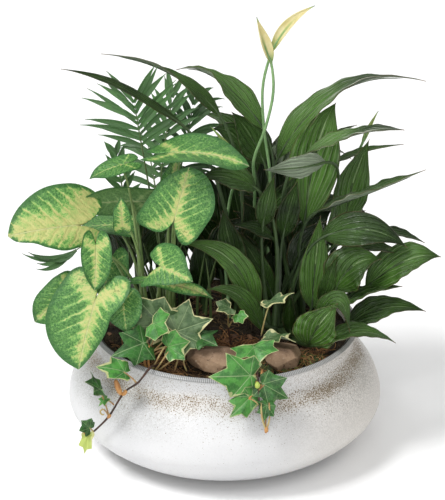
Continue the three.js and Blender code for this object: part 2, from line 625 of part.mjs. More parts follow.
function bowl() {
  const profile = [[0, 0], ...curvePoints(BOWL_OUTSIDE), ...curvePoints(BOWL_INSIDE), [0, BOWL_FLOOR]];
  return meshOf('bowl', turned(profile, BOWL_SEGMENTS), GLAZE);
}

// The soil fills the bowl up to its neck, with a plain hole for every root.
function soil(holes) {
  const wall = curvePoints(BOWL_INSIDE).filter(([, z]) => z < SOIL_TOP - 1).reverse();
  const inset = wall.map(([r, z]) => [r - SEAT_GAP, Math.max(z, BOWL_FLOOR) + SEAT_GAP]);
  const edge = inset[inset.length - 1][0];
  const profile = [[0, BOWL_FLOOR + SEAT_GAP], ...inset, [edge, SOIL_TOP], [0, SOIL_TOP]];
  const filling = turned(profile, BOWL_SEGMENTS);
  return meshOf('soil', holes.reduce((left, hole) => left.subtract(hole), filling), SOIL);
}

const hole = (at, radius) => plug(at, radius, ROOT_BOTTOM - SEAT_GAP, SOIL_TOP + 1);

const planter = new THREE.Group();
planter.name = 'planter';

const holes = [
  ...[...LILIES, ...ARROWHEADS].map(({ at, radius }) => hole(at, radius + 2 * SEAT_GAP)),
  ...FRONDS.map(({ at }) => hole(at, PALM_STEM_RADIUS + 3 * SEAT_GAP)),
  ...IVIES.map(({ at }) => hole(at, IVY_STEM_RADIUS + 3 * SEAT_GAP)),
  ...BLOOMS.map(({ at }) => hole(at, BLOOM_STALK_RADIUS + 3 * SEAT_GAP)),
];
planter.add(bowl(), soil(holes));
STONES.forEach((row) => planter.add(stone(row)));
LILIES.forEach((row, i) => planter.add(lilyCrown(row, 50 * i)));
BLOOMS.forEach((row, i) => planter.add(...bloomPieces(row, 300 + i)));
ARROWHEADS.forEach((row) => planter.add(arrowheadStem(row)));
FRONDS.forEach((row, i) => planter.add(palmFrond(row, i)));
IVIES.forEach((row) => planter.add(ivyPlant(row)));

export default planter;
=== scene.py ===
# A mixed houseplant planter: a low glazed bowl of soil that holds a peace lily, an arrowhead vine,
# a parlour palm and trailing ivy, with worn stones, moss and root fibres on the soil.
import math
import random

import bpy
import numpy as np
from mathutils import Matrix, Vector, noise


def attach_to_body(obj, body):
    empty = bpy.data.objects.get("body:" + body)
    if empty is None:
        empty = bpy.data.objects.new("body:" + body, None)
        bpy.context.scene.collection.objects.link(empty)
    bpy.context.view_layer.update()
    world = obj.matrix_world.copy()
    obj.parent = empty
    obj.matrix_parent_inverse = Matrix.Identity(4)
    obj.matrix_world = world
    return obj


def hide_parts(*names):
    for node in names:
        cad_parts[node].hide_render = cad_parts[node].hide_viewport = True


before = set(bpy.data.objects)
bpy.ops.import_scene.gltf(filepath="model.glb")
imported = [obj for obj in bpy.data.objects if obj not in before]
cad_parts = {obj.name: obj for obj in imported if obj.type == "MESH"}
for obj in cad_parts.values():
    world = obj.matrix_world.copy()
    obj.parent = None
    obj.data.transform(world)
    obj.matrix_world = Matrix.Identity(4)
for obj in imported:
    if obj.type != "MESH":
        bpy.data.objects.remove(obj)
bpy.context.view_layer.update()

# Lengths are in millimetres, and MM turns them into metres.
# Only the lamps, the floor's size and the places in the finishes are in metres from the start.
MM = 0.001

# Bowl: its section as [radius, height] pairs, with its foot and its lip rounded off
BOWL_OUTSIDE = [[92, 0], [117, 13], [137.5, 32], [141.5, 48], [134, 70], [118, 90], [116, 99], [120.5, 113]]
BOWL_INSIDE = [[114.5, 113], [110, 99], [112, 90], [128, 69], [135.5, 48], [131, 33], [110, 17], [88, 10]]
PROFILE_ROWS = 26
BOWL_SIDES = 144
FOOT_ROUND = 1.5
LIP_ROUND = 2.2
LIP_STEPS = (0.18, 0.5, 0.82)
LIP_TICKS = 440

# Soil: its level, the gap at the wall, and how far out loose matter lies
SOIL_TOP = 103
SOIL_DEPTH = 14
SOIL_GAP = 0.5
SOIL_SCALE = 0.045
SOIL_LUMPS = 6.0
SOIL_CRUMBS = 0.9
SOIL_REACH = 106
# The shares of the soil's sheet at which its top ends, its wall drops and its underside starts
TOP_ENDS = 0.86
WALL_DROPS = 0.9
UNDERSIDE_STARTS = 0.94

# Crowns and stems in the soil
CROWN_TOP = SOIL_TOP + 5
ROOT_SUNK = 3
STALK_BOTTOM = SOIL_TOP - 5
STEM_FOOT = [82, SOIL_TOP - 8, SOIL_TOP + 3]

# Thickness of leaves
LEAF_THICKNESS = 0.55
SPATHE_THICKNESS = 0.6
LEAFLET_THICKNESS = 0.4
IVY_THICKNESS = 0.45

# Radii of stalks and stems, from the root up
LILY_STALK_RADII = [3.2, 2.9, 2.3, 1.8, 1.5, 1.3, 1.3, 1.1, 0.9, 0.7, 0.5, 0.25]
BLOOM_STALK_RADII = [2.325, 1.86, 1.55, 1.4, 1.3, 1.2, 0.4]
ARROWHEAD_RADII = [2.6, 2.2, 1.6, 1.3, 1.15, 1.0, 0.9]
PALM_RADII = [1.69, 1.3, 1.04, 0.5]
IVY_STEM_RADIUS = 0.95
IVY_PETIOLE_RADII = [0.75, 0.6]

# A lance-shaped blade is fullest this far along, and these powers round its base and thin its tip.
FULLEST = 0.36
BASE_POWER = 0.8
TIP_POWER = 1.42
LILY_FOLD = 0.22
LILY_WAVE = 0.1
WAVES_ALONG = 1.7
LILY_RIPPLE = 0.045
LILY_RIDGES = 0.05
RIDGES_ACROSS = 3.2
SPATHE_ROLL = 1.25

# A lily's stalk ends just inside its blade and runs on under it as a rib, through these places.
PETIOLE_END = 0.02
PETIOLE_SWEEP = 0.28
LILY_RIB_AT = (0.14, 0.3, 0.5, 0.7, 0.88)
LILY_RIB_UNDER = 0.55

# How an arrowhead's stalk arches on its way to the leaf, and how an ivy's bends
ARCH_OUT = 0.3
ARCH_UP = 0.85
IVY_KNEE = 0.12

# Palm: leaflets in pairs along the upper part of each rib
LEAFLET_WIDTH = 5.8
SPREAD_SWAY = 0.42
RIB_END = 0.995

# The photograph's camera: its distance, height angle and the point it looks at
CAMERA_DISTANCE = 2500
CAMERA_ELEVATION = math.radians(24)
CAMERA_TARGET = (-2.0, 0.0, 182.6)
CAMERA_LENS = 201.8

# Ways that the face of a leaf looks
UP = [0, 0, 1]
FRONT = [0, -1, 0.35]

# Peace lily: every crown has its place on the soil, its radius and its leaves.
# A leaf is the base, middle and tip of its midrib, its full width and the way its upper face looks,
# and then the way it looks at its tip, where the blade twists.
# Its tone is painted light: below 0 deep shade, 0 dark, 1 lit, and over 1.1 a painted sky reflection on its
# outer half.
LILIES = [
  {"name": "lily_left", "at": [18, 45], "radius": 8, "leaves": [
    [[35, 54, 277], [-6.5, 60, 323], [-43, 50, 335], 29, [0.3, -1, 0.6], [0, 0.9, 1.8]],
    [[-4, 40, 295], [-48.5, 32, 339], [-108, 20, 361], 16, FRONT, [0, 1.2, 1.6]],
    [[-34, 16, 293], [-90, -6, 340], [-141, -22, 362.5], 9, [0, -0.7, 1]],
    [[48, 60, 247], [105, 58, 313.5], [178, 40, 328], 36, [0, -0.8, 0.6], [0, 0.9, 2.8]],
    [[2, 50, 140], [-14, 52, 175], [-34, 50, 200], 30, FRONT],
    [[8, 60, 125], [-14, 64, 150], [-44, 66, 165], 28, [0, -1, 0.6]],
    [[34, 38, 201], [50, 38, 220], [67, 38, 240], 16, FRONT],
    ],
    "tones": [0.98, 0.55, 0.3, 1.25, -0.1, -0.2, 0.1]},
  {"name": "lily_right", "at": [64, 38], "radius": 10, "leaves": [
    [[72, 40, 192], [83, 46, 263], [99, 45, 306], 46, FRONT],
    [[108, 45, 187], [116, 50, 228], [130, 55, 267], 32, [0.2, -1, 0.3]],
    [[69, 20, 264], [114, 10, 289.5], [157, -5, 299.5], 30, UP],
    [[88, 60, 236], [121, 60, 252], [161, 60, 260], 14, UP],
    [[89, 15, 261], [64, 0, 262], [34, -10, 264], 24, [0, 1, 0.1]],
    [[83, 15, 214], [129, 5, 236.5], [177, 0, 260], 38, [0, 0.2, 1]],
    [[108, 20, 184], [148, 15, 192], [179, 10, 185], 24, UP],
    ],
    "tones": [1.08, 0.75, 1.3, 0.9, 1.0, 0.5, 0.2]},
  {"name": "lily_front", "at": [50, 0], "radius": 13, "leaves": [
    [[86, -10, 199], [125, -18, 210.5], [161, -25, 196], 31, [0, -0.9, 0.5]],
    [[126, -15, 152], [160, -22, 182], [191, -25, 187], 39, [0, -0.5, 0.85]],
    [[98, -20, 151], [114, -25, 179], [138, -30, 187], 41, [0, -0.7, 0.7]],
    [[97, -20, 134], [127, -28, 153], [157, -35, 163], 30, UP],
    [[106, -25, 117], [141, -32, 140], [178, -40, 141], 29, [0, -0.4, 0.9]],
    [[79, -50, 111], [117, -56, 128], [151, -55, 117], 28, [0, -0.1, 1]],
    [[74, -50, 113], [83, -61, 138], [99, -64, 160], 39, FRONT],
    [[81, -46, 133], [99, -57, 159], [110, -62, 131], 22, [0.3, -0.6, 1]],
    [[78, -10, 130], [81, -5, 173], [85, 0, 216], 27, FRONT],
    [[27, -20, 123], [6, -35, 187], [-41, -40, 207], 27, [0.3, -0.8, 0.6]],
    [[33, -35, 120], [13, -45, 158], [-16, -55, 169], 18, [0.3, -0.8, 0.6]],
    [[45, 10, 129], [29, 12, 165], [10, 15, 196], 18, FRONT],
    [[52, 15, 188], [58, 15, 217], [65, 15, 244], 20, FRONT],
    [[59, -30, 113], [57, -35, 138], [58, -38, 163], 12, FRONT],
    [[28, 10, 238], [4, 0, 252], [-24, -10, 257], 28, [0, -0.6, 1]],
    [[34, 10, 202], [38, 10, 225], [44, 12, 250], 18, FRONT],
    [[43, 16, 187], [27, 8, 200], [5, 0, 207], 16, [0, -0.6, 1]],
    [[14, 4, 148], [4, 0, 192], [-2, -2, 222], 24, FRONT],
    [[87, -15, 135], [92, -20, 162], [100, -20, 187], 14, FRONT],
    [[94, 2, 171], [127, -4, 185], [161, -8, 181], 30, UP],
    ],
    "tones": [0.15, 0.66, 0.35, 0.4, 0.3, 0.6, 1.0, 0.6, 1.05, 1.0, 0.6, 0.3, 0.1, 0.0,
      0.35, 0.4, 0.1, 0.25, 0.4, 0.3]},
  {"name": "lily_back", "at": [42, 80], "radius": 13, "leaves": [
    [[30, 95, 200], [10, 115, 250], [-25, 130, 262], 34, UP],
    [[60, 95, 190], [85, 120, 228], [118, 135, 215], 32, UP],
    [[45, 100, 170], [50, 128, 205], [60, 150, 190], 30, UP],
    [[20, 95, 160], [0, 120, 185], [-30, 140, 170], 28, UP],
    [[75, 85, 170], [108, 98, 186], [136, 105, 165], 30, UP],
    [[50, 92, 205], [57, 106, 238], [68, 112, 258], 30, [0, 1, 0.3]],
    [[80, 88, 140], [112, 112, 150], [138, 125, 128], 26, UP],
    [[25, 98, 130], [8, 124, 142], [-8, 140, 122], 24, UP],
    [[70, 90, 210], [94, 98, 245], [121, 100, 263], 22, UP],
    [[27, 74, 229], [10, 80, 259], [-11, 78, 268], 30, [0.4, -1, 0.4]],
    [[36, 63, 240], [23, 66, 266], [6, 64, 290], 30, [0.3, -1, 0.2]],
    [[5, 95, 120], [-22, 112, 140], [-52, 124, 150], 28, [0, -0.6, 1]],
    [[22, 70, 150], [9, 78, 205], [0, 84, 250], 34, FRONT],
    [[46, 78, 150], [42, 86, 205], [40, 92, 252], 36, FRONT],
    [[70, 80, 140], [73, 88, 195], [78, 92, 240], 34, FRONT],
    [[-4, 94, 145], [-12, 108, 182], [-24, 118, 216], 30, FRONT],
    ],
    "tones": [0.3, 0.3, 0.1, 0.1, 0.3, 0.4, 0.1, 0.0, 0.35, 0.3, 0.3, 0.0, -0.2, -0.3,
      -0.1, -0.2]},
]

# Peace lily blooms: the stalk's points above the soil, then the spathe as a leaf row.
# Its tone is below 0.5 where it is still green.
BLOOMS = [
  {"name": "bloom_left", "at": [26, 24],
    "stalk": [[27, 56, 170], [27, 50, 225], [26, 42, 252], [36, 36, 285], [43, 40, 318]],
    "spathe": [[41, 42, 344], [33.4, 44, 365], [28, 46, 386], 14.5, [1, -1, 0]], "tone": 0.6},
  {"name": "bloom_right", "at": [36, 20],
    "stalk": [[40, 50, 170], [41, 52, 232], [35, 50, 280], [34, 52, 320]],
    "spathe": [[41.5, 54, 350], [57.8, 54, 376.5], [79, 50, 395], 13, [-0.6, -1, 0.6]], "tone": 0.8},
  {"name": "bud_right", "at": [84, 50],
    "stalk": [[104, 66, 200], [114, 70, 233]],
    "spathe": [[124, 70, 256], [130, 70, 272], [138, 68, 289], 5, FRONT], "tone": 0.25},
  {"name": "bud_left", "at": [4, 28],
    "stalk": [[0, 60, 160], [5, 58, 208], [12, 42, 240]],
    "spathe": [[14, 34, 255], [1, 30, 273], [-13, 26, 291], 5, FRONT], "tone": 0.2},
]

# Arrowhead vine: petiole's end, tip, full width and face of every leaf, and how much of it is cream
ARROWHEADS = [
  {"name": "arrowhead_left", "at": [-70, -12], "radius": 6, "leaves": [
    [[-132, -40, 223.5], [-188.5, -55, 220], 60, [-0.1, -0.75, 0.6], 1.0],
    [[-141, -55, 165], [-167, -60, 140], 34, [-0.2, -1, 0.3], 0.25],
    [[-112, -60, 209], [-113, -72, 176], 27, [0.2, -1, 0.1], 0.36],
    [[-89, -50, 230], [-90, -52, 255], 16, FRONT, 0.4],
    [[-96, 14, 200], [-138, 22, 190], 46, UP, 0.1],
    [[-89, -15, 271], [-118, -22, 260], 24, [0, -0.3, 1], 0.05],
    [[-78, -8, 233], [-135, -22, 231], 35, [0, 0.9, 0.35], 0.1],
    [[-102, -10, 174], [-110, -14, 142], 34, FRONT, 0.05],
  ]},
  {"name": "arrowhead_middle", "at": [-50, -4], "radius": 5, "leaves": [
    [[-43, -45, 235], [-31, -30, 275], 74, [0, -1, 0.45], 0.4],
    [[-41, -30, 288], [21, -45, 282], 56, [0, -0.06, 1], 0.17],
    [[-48, -8, 238], [-42, -3, 272], 22, FRONT, 0.2],
  ]},
  {"name": "arrowhead_front", "at": [-60, -34], "radius": 5, "leaves": [
    [[-113, -75, 166], [-127, -95, 111], 76, [-0.2, -1, 0.35], 0.4],
    [[-54, -60, 193], [-28, -75, 186], 38, [0, -1, 0.5], 0.25],
    [[-89, -66, 162], [-86, -80, 140], 32, FRONT, 0.1],
    [[-60, -44, 171], [-10, -50, 158], 16, [0, -0.2, 1], 0.3],
  ]},
]

# Leaf outlines on one side of the midrib: degrees from the tip, distance from the petiole's end
ARROWHEAD_EDGE = [
    [0, 1], [14, 0.89], [36, 0.76], [68, 0.62], [108, 0.58], [140, 0.58], [164, 0.42], [180, 0.06],
]
IVY_EDGE = [[0, 1], [21, 0.66], [46, 0.82], [70, 0.52], [98, 0.6], [136, 0.38], [180, 0.1]]

# Arrowhead leaves whose sides differ: the stem and the leaf's place in its row, then each side's outline
OWN_OUTLINES = {
  ("arrowhead_left", 0): (
    [[0, 1], [7, 0.9], [14, 0.73], [31, 0.58], [57, 0.46], [85, 0.36], [115, 0.33],
     [151, 0.44], [164, 0.43], [180, 0.05]],
    [[0, 1], [17, 0.92], [36, 0.82], [55, 0.735], [83, 0.645], [111, 0.645], [135, 0.65],
     [152, 0.56], [172, 0.2], [180, 0.05]]),
  ("arrowhead_middle", 0): (
    [[0, 1], [17, 0.86], [32, 0.76], [50, 0.67], [90, 0.67], [112, 0.77], [130, 0.6],
     [155, 0.41], [170, 0.2], [180, 0.05]],
    [[0, 1], [19, 1.0], [41, 0.9], [64, 0.78], [93, 0.62], [110, 0.6], [126, 0.61],
     [155, 0.53], [170, 0.2], [180, 0.05]]),
  ("arrowhead_front", 0): (
    [[0, 1], [13, 0.72], [39, 0.43], [60, 0.33], [99, 0.41], [123, 0.54], [135, 0.59],
     [148, 0.55], [162, 0.4], [180, 0.05]],
    [[0, 1], [20, 0.93], [35, 0.86], [56, 0.745], [72, 0.66], [108, 0.57], [128, 0.59],
     [147, 0.54], [164, 0.35], [180, 0.05]]),
  ("arrowhead_front", 1): (
    [[0, 1], [20, 0.78], [45, 0.74], [73, 0.73], [100, 0.7], [124, 0.69], [150, 0.62],
     [168, 0.55], [176, 0.3], [180, 0.05]],
    [[0, 1], [13, 0.78], [26, 0.67], [50, 0.56], [73, 0.54], [100, 0.68], [117, 0.83],
     [130, 0.5], [145, 0.25], [180, 0.05]]),
}

# A spread leaf's form: outline, bow along it, fold, quilting, wave, and how uneven its lobes are
ARROWHEAD_FORM = {
    "edge": ARROWHEAD_EDGE, "bow": 0.22, "fold": 0.12, "quilt": 0.014, "wave": 0.025, "uneven": 0.08}
IVY_FORM = {"edge": IVY_EDGE, "bow": 0.2, "fold": 0.15, "quilt": 0.0, "wave": 0.06, "uneven": 0.26}

# Parlour palm: root on the soil, bend and end of each frond's rib, the way it faces, leaflet length,
# pairs of leaflets, where along the rib they start, tone, their angle to the rib first and last, and droop
FRONDS = [
  [[-52, 40], [-67, 30, 225], [-80, 18, 318], [0, -1, 0.4], 54, 8, 0.88, 0.62, [1.2, 0.55], 0.03],
  [[-45, 50], [-58, 66, 215], [-47, 78, 300], [-0.2, -1, 0.3], 40, 8, 0.78, 0.5, [1.1, 0.3], 0.12],
  [[-36, 52], [-42, 88, 205], [-28, 96, 286], [0.2, -1, 0.3], 44, 9, 0.78, 0.3, [1.15, 0.55], 0.3],
  [[-62, 46], [-98, 50, 180], [-144, 38, 159], [0, -0.6, 1], 46, 2, 0.95, 0.5, [0.25, 0.05], -0.46],
  [[-58, 34], [-86, 44, 195], [-98, 46, 256], [0.2, -1, 0.5], 24, 5, 0.82, 0.7, [1.0, 0.3], 0.0],
  [[-48, 60], [-62, 96, 190], [-72, 138, 232], [0, -0.5, 1], 44, 8, 0.68, 0.4, [1.3, 0.75], 0.3],
]

# Ivy: each plant's stem, then its leaves as petiole's root, petiole's end, tip, width, face and tone.
# From low to high a tone is grey-green with a cream edge, deep green and fresh, and over 1 yellow-green.
# Sprigs are small parts without a leaf: their look, points and radii.
IVIES = [
  {"name": "ivy_trail", "at": [-57, -78],
    "stem": [[-60, -86, 110], [-65, -104, 117], [-75, -110, 106], [-87, -109, 96], [-101, -108, 72],
             [-117, -99, 50]],
    "leaves": [
      [[-76, -110, 105], [-87, -106, 114], [-111, -110, 122], 20, [0, -0.8, 1], 0.78],
      [[-101, -108, 72], [-108, -116, 102], [-121, -121, 112], 27, [0.1, -0.25, 1], 0.35],
      [[-96, -109, 83], [-103, -112, 91], [-110, -116, 86], 9, [0, -0.6, 1], 0.7],
      [[-115, -100, 52], [-118.5, -102, 57], [-126, -106, 67], 15, [0.5, -1, 0.3], 0.5],
      [[-117, -99, 50], [-120, -102, 50], [-123.5, -105, 33], 12, [-0.3, -1, 0.3], 1.2],
    ],
    "sprigs": [
      ["dry", [[-90, -109, 93], [-92.5, -111, 101], [-95, -112, 110]], [1.2, 2.5, 2.6, 1.4]],
      ["dry", [[-89.5, -110, 93], [-87, -109.5, 95.5], [-85, -109, 98.5]], [0.6, 1.9, 1.7, 0.8]],
      ["dry", [[-102.5, -108, 69.5], [-101, -108, 72], [-99.5, -108.5, 75]], [0.5, 1.6, 1.7, 0.6]],
      ["petiole", [[-102, -109, 73], [-103, -111, 77], [-106, -111, 80.5], [-108.5, -111, 78],
                   [-107, -111, 75], [-104.5, -111, 75.5]], [0.6, 0.7, 0.8, 0.6]],
      ["dry", [[-119, -101, 50], [-122.5, -103, 53], [-124, -104, 59]], [0.4, 1.5, 1.2, 0.5]],
    ]},
  {"name": "ivy_left", "at": [-66, -70],
    "stem": [[-66, -74, 118], [-66, -77, 132]],
    "leaves": [
      [[-66, -76, 126], [-71, -84, 131], [-98, -98, 126], 32, [0.1, -1, 0.7], 0.5],
      [[-66, -77, 130], [-62, -76, 146], [-48, -80, 140], 30, [0, -1, 0.8], 0.9],
      [[-66, -74, 116], [-49, -82, 127], [-30, -84, 133], 28, [0, -1, 0.5], 0.72],
      [[-66, -74, 120], [-54, -64, 138], [-80, -56, 164], 44, [0, -1, 0.4], 0.1],
      [[-66, -74, 114], [-42, -70, 136], [-10, -66, 146], 46, [0, -1, 0.5], 0.15],
      [[-66, -74, 112], [-27, -68, 130], [-6, -82, 127], 26, [0, -0.5, 1], 0.4],
    ],
    "sprigs": [
      ["dry", [[-64, -86, 101], [-66.5, -86, 112], [-66, -84, 130]], [1.5, 1.3, 1.0, 0.8]],
      ["dry", [[-67, -84, 100], [-70, -83, 112], [-69, -80, 126]], [1.1, 1.0, 0.8, 0.6]],
      ["petiole", [[-66, -88, 102], [-60, -88, 115], [-52.5, -84, 128]], [1.0, 0.8, 0.8]],
      ["petiole", [[-64, -88, 102], [-57, -88, 112], [-48.5, -84, 124]], [1.0, 0.8, 0.8]],
      ["petiole", [[-62, -84, 102], [-47, -80, 112], [-36, -76, 124]], [0.8, 0.7, 0.6]],
      ["petiole", [[-44, -82, 103], [-41, -80, 113], [-35, -74, 127]], [0.7, 0.7, 0.6]],
      ["petiole", [[-33, -84, 103], [-36, -82, 112], [-31, -76, 126]], [0.7, 0.7, 0.6]],
    ]},
  {"name": "ivy_front", "at": [27, -94],
    "stem": [[27, -100, 116], [28, -118, 119], [29, -130, 107], [30, -136, 97], [35, -143, 77]],
    "leaves": [
      [[27, -96, 110], [25, -92, 131], [29, -106, 121], 42, [0, -0.7, 1], 0.85],
      [[28, -120, 117], [22, -123, 119], [-14, -128, 120], 40, [0, -1, 0.4], 0.7],
      [[30, -136, 97], [22, -132, 103], [4, -142, 88], 20, [0, -1, 0.3], 0.68],
      [[29, -130, 108], [33, -127, 113], [55, -131, 101], 29, [0, -1, 0.4], 0.36],
      [[35, -143, 77], [36, -138, 98], [33, -145, 85], 16, [0, -1, 0.3], 0.45],
    ],
    "sprigs": [
      ["dry", [[22, -104, 110], [24, -114, 122], [28, -126, 110]], [1.0, 1.1, 0.9]],
      ["dry", [[33, -108, 112], [32, -118, 121], [31, -130, 108]], [0.9, 1.0, 0.9]],
      ["bud", [[28, -129, 111], [28, -132, 114], [28, -131, 117.5]], [0.7, 2.3, 2.4, 0.6]],
      ["petiole", [[31, -138, 101], [32, -144, 89], [35.2, -144.5, 78]], [0.7, 0.9, 0.8]],
      ["petiole", [[38, -137, 101], [38.5, -143, 89], [36, -144.5, 78]], [0.7, 0.8, 0.8]],
      ["dry", [[35.5, -144, 81], [35.8, -144.5, 77.5], [34.8, -144, 74]], [0.9, 1.8, 1.7, 0.5]],
      ["dry", [[24, -131, 104], [21, -133, 102], [23, -133, 98]], [0.6, 0.9, 0.5]],
    ]},
  {"name": "ivy_middle", "at": [31, -44],
    "stem": [[31, -45, 112], [32, -46, 120]],
    "leaves": [
      [[32, -46, 119], [38, -50, 153], [62, -49, 160], 24, [-0.2, 0.1, 1], 0.2],
      [[32, -46, 116], [38, -66, 127], [62, -78, 130], 22, [0, 0, 1], 0.25],
    ]},
  {"name": "ivy_small", "at": [5, -24],
    "stem": [[4, -26, 112], [3, -30, 122]],
    "leaves": [
      [[3, -30, 121], [4, -52, 150], [-8, -60, 150], 18, [0, -0.6, 1], 0.1],
      [[3, -30, 120], [12, -54, 144], [16, -60, 138], 14, FRONT, 0.9],
    ]},
]

# Stones lying on the soil: centre, half length, half depth and height, turn, and the planes they split along
STONES = [
  {"name": "stone_left", "at": [-10, -75], "size": [27, 15, 20], "turn": -0.45, "splits": [
    ([0.3, -0.6, 0.75], 0.62), ([-0.9, -0.3, 0.3], 0.8), ([0.8, -0.2, 0.55], 0.78), ([0, -1, 0.1], 0.72),
    ([-0.4, 0.3, 0.9], 0.74), ([0.9, -0.6, -0.2], 0.86), ([-0.6, -0.8, -0.3], 0.85)]},
  {"name": "stone_right", "at": [52, -69], "size": [17, 17, 19], "turn": 0.3, "splits": [
    ([-0.3, -0.8, 0.5], 0.68), ([0.8, -0.3, 0.5], 0.72), ([-0.9, 0, 0.4], 0.75), ([0.1, -1, -0.2], 0.76),
    ([0.3, 0.2, 0.9], 0.72), ([0.9, -0.5, -0.1], 0.8)]},
]

# Where a stone's ball is cut flat below, and how much is taken off above each plane
STONE_FLAT = -0.7
STONE_CUT = 0.92

# Moss and root fibres: name, centre and half size of the patch, height, count, length, radius, seed, colours
TANGLES = [
    ("moss_right", (62, -66), (42, 26), 9, 420, 16, 0.35, 11, ((0.03, 0.05, 0.012), (0.16, 0.2, 0.05))),
    ("fibre_right", (66, -60), (44, 30), 11, 260, 26, 0.3, 12, ((0.1, 0.045, 0.015), (0.34, 0.17, 0.06))),
    ("fibre_left", (-70, -60), (38, 38), 12, 420, 28, 0.3, 13, ((0.09, 0.04, 0.014), (0.36, 0.19, 0.07))),
    ("fibre_middle", (8, -36), (26, 32), 12, 260, 26, 0.3, 14, ((0.1, 0.04, 0.015), (0.3, 0.14, 0.05))),
    ("fibre_front", (0, -88), (60, 16), 6, 200, 22, 0.28, 15, ((0.06, 0.035, 0.015), (0.26, 0.16, 0.07))),
    ("fibre_back", (0, 60), (96, 44), 8, 420, 26, 0.3, 16, ((0.05, 0.035, 0.015), (0.24, 0.15, 0.06))),
]

# Loose lumps on the soil: name, count, size, seed and how flat they are
CRUMBS = ("soil_crumbs", 260, 2.6, 3, 0.7)
CHIPS = ("bark_chips", 90, 4.6, 9, 0.35)
BARK = ((0.05, 0.025, 0.014), (0.2, 0.1, 0.05))

# The leaves and stems in the heart of the planting, the leaves painted dark as deep shade: how many, and
# between which limits
SHADE_LEAVES = 40
SHADE_WIDE = (-92, 92)
SHADE_DEEP = (28, 72)
SHADE_RISE = (20, 62)
SHADE_LEAN = (-14, 14)
SHADE_LENGTH = (42, 62)
SHADE_WIDTH = (20, 30)
SHADE_TONE = (-0.4, -0.1)
SHADE_STEMS = 18
SHADE_STEM_WIDE = (-92, -12)
SHADE_STEM_DEEP = (0, 60)
SHADE_STEM_LEAN = (-22, 22)
SHADE_STEM_RISE = (60, 105)

# Stems and stalks: two colours that run into each other and, where it isn't the usual, how rough they are
STALK_SKINS = {
    # Lily stalks are painted near-black: painted shade of the planting's dark heart, where most of them
    # stand.
    "painted_shade_lily_stalk": ((0.014, 0.032, 0.008), (0.05, 0.095, 0.024)),
    "bloom_stalk": ((0.1, 0.22, 0.07), (0.23, 0.38, 0.16)),
    "arrowhead_stalk": ((0.08, 0.15, 0.035), (0.24, 0.33, 0.11)),
    "palm_stalk": ((0.04, 0.075, 0.02), (0.13, 0.19, 0.06)),
    "ivy_stem": ((0.014, 0.011, 0.008), (0.1, 0.035, 0.018), 0.6),
    "ivy_petiole": ((0.42, 0.38, 0.15), (0.26, 0.09, 0.035), 0.55),
    "ivy_dry": ((0.5, 0.26, 0.08), (0.26, 0.1, 0.035), 0.6),
    "ivy_bud": ((0.42, 0.5, 0.1), (0.3, 0.42, 0.07), 0.5),
}
# Degrees from an ivy leaf's tip to the veins of its lobes
IVY_VEINS = (46, 98)

# Flat sheets that leaves and stems are bent from: faces across and along
SHEET_FACES = {
    "lily": (26, 40), "shade": (18, 28), "leaflet": (4, 10), "fan": (84, 16), "ivy": (72, 8),
    "stem": (10, 40), "thin": (8, 12), "hair": (3, 8), "soil": (180, 96),
}

# Lamps: name, place in metres, size, power
LIGHTS = [
    ("key", (-3.2, -1.8, 5.5), 2.2, 312),
    ("front", (-0.2, -5.2, 2.5), 3.0, 112),
    ("back", (-0.8, 3.8, 4.6), 2.6, 36),
]
LAMP_TARGET = (0, 0, 0.15)
SKY = 0.53
FLOOR_SIZE = 12
FLOOR_GLOW = 0.075


def seeded(seed):
    value = math.sin(seed * 12.9898) * 43758.5453
    return value - math.floor(value)


def unit(rows):
    rows = np.asarray(rows, float)
    return rows / np.maximum(np.linalg.norm(rows, axis=-1, keepdims=True), 1e-9)


def bent(a, control, b):
    """The curve from a to b that leans toward its control point: its points and its headings."""
    a, control, b = (np.array(p, float) for p in (a, control, b))

    def point(t):
        t = np.asarray(t, float)[..., None]
        return (1 - t) ** 2 * a + 2 * t * (1 - t) * control + t * t * b

    def heading(t):
        t = np.asarray(t, float)[..., None]
        return unit((1 - t) * (control - a) + t * (b - control))

    return point, heading


def arc(a, middle, b):
    """The curve that starts at a, passes middle half way and ends at b."""
    a, middle, b = (np.array(p, float) for p in (a, middle, b))
    return bent(a, 2 * middle - (a + b) / 2, b)


def bowed(a, control, b, count):
    return bent(a, control, b)[0](np.linspace(0, 1, count))


def curve_through(points, power=0.5):
    """A smooth curve through points. At a power of 0.5 it turns at them as a bent stem does."""
    p = np.array(points, float)
    p = np.vstack([2 * p[0] - p[1], p, 2 * p[-1] - p[-2]])
    gaps = np.maximum(np.linalg.norm(np.diff(p, axis=0), axis=1) ** power, 1e-4)

    def point(t):
        place = np.clip(np.asarray(t, float), 0, 1) * (len(p) - 3)
        i = np.minimum(place.astype(int), len(p) - 4)
        w = (place - i)[..., None]
        x0, x1, x2, x3 = (p[i + k] for k in range(4))
        d0, d1, d2 = (gaps[i + k][..., None] for k in range(3))
        t1 = ((x1 - x0) / d0 - (x2 - x0) / (d0 + d1) + (x2 - x1) / d1) * d1
        t2 = ((x2 - x1) / d1 - (x3 - x1) / (d1 + d2) + (x3 - x2) / d2) * d1
        c2 = -3 * x1 + 3 * x2 - 2 * t1 - t2
        c3 = 2 * x1 - 2 * x2 + t1 + t2
        return x1 + t1 * w + c2 * w ** 2 + c3 * w ** 3

    return point


def nothing_selected():
    if bpy.context.object and bpy.context.object.mode != "OBJECT":
        bpy.ops.object.mode_set(mode="OBJECT")
    bpy.ops.object.select_all(action="DESELECT")


def chosen(piece):
    nothing_selected()
    bpy.context.view_layer.objects.active = piece
    piece.select_set(True)
    return piece


def edited(piece, operation, **settings):
    """Does one thing to the whole mesh of a piece."""
    chosen(piece)
    bpy.ops.object.mode_set(mode="EDIT")
    bpy.ops.mesh.select_all(action="SELECT")
    operation(**settings)
    bpy.ops.object.mode_set(mode="OBJECT")
    return piece


def merged(piece):
    return edited(piece, bpy.ops.mesh.remove_doubles, threshold=0.02 * MM)


def turned_outward(piece):
    return edited(piece, bpy.ops.mesh.normals_make_consistent, inside=False)


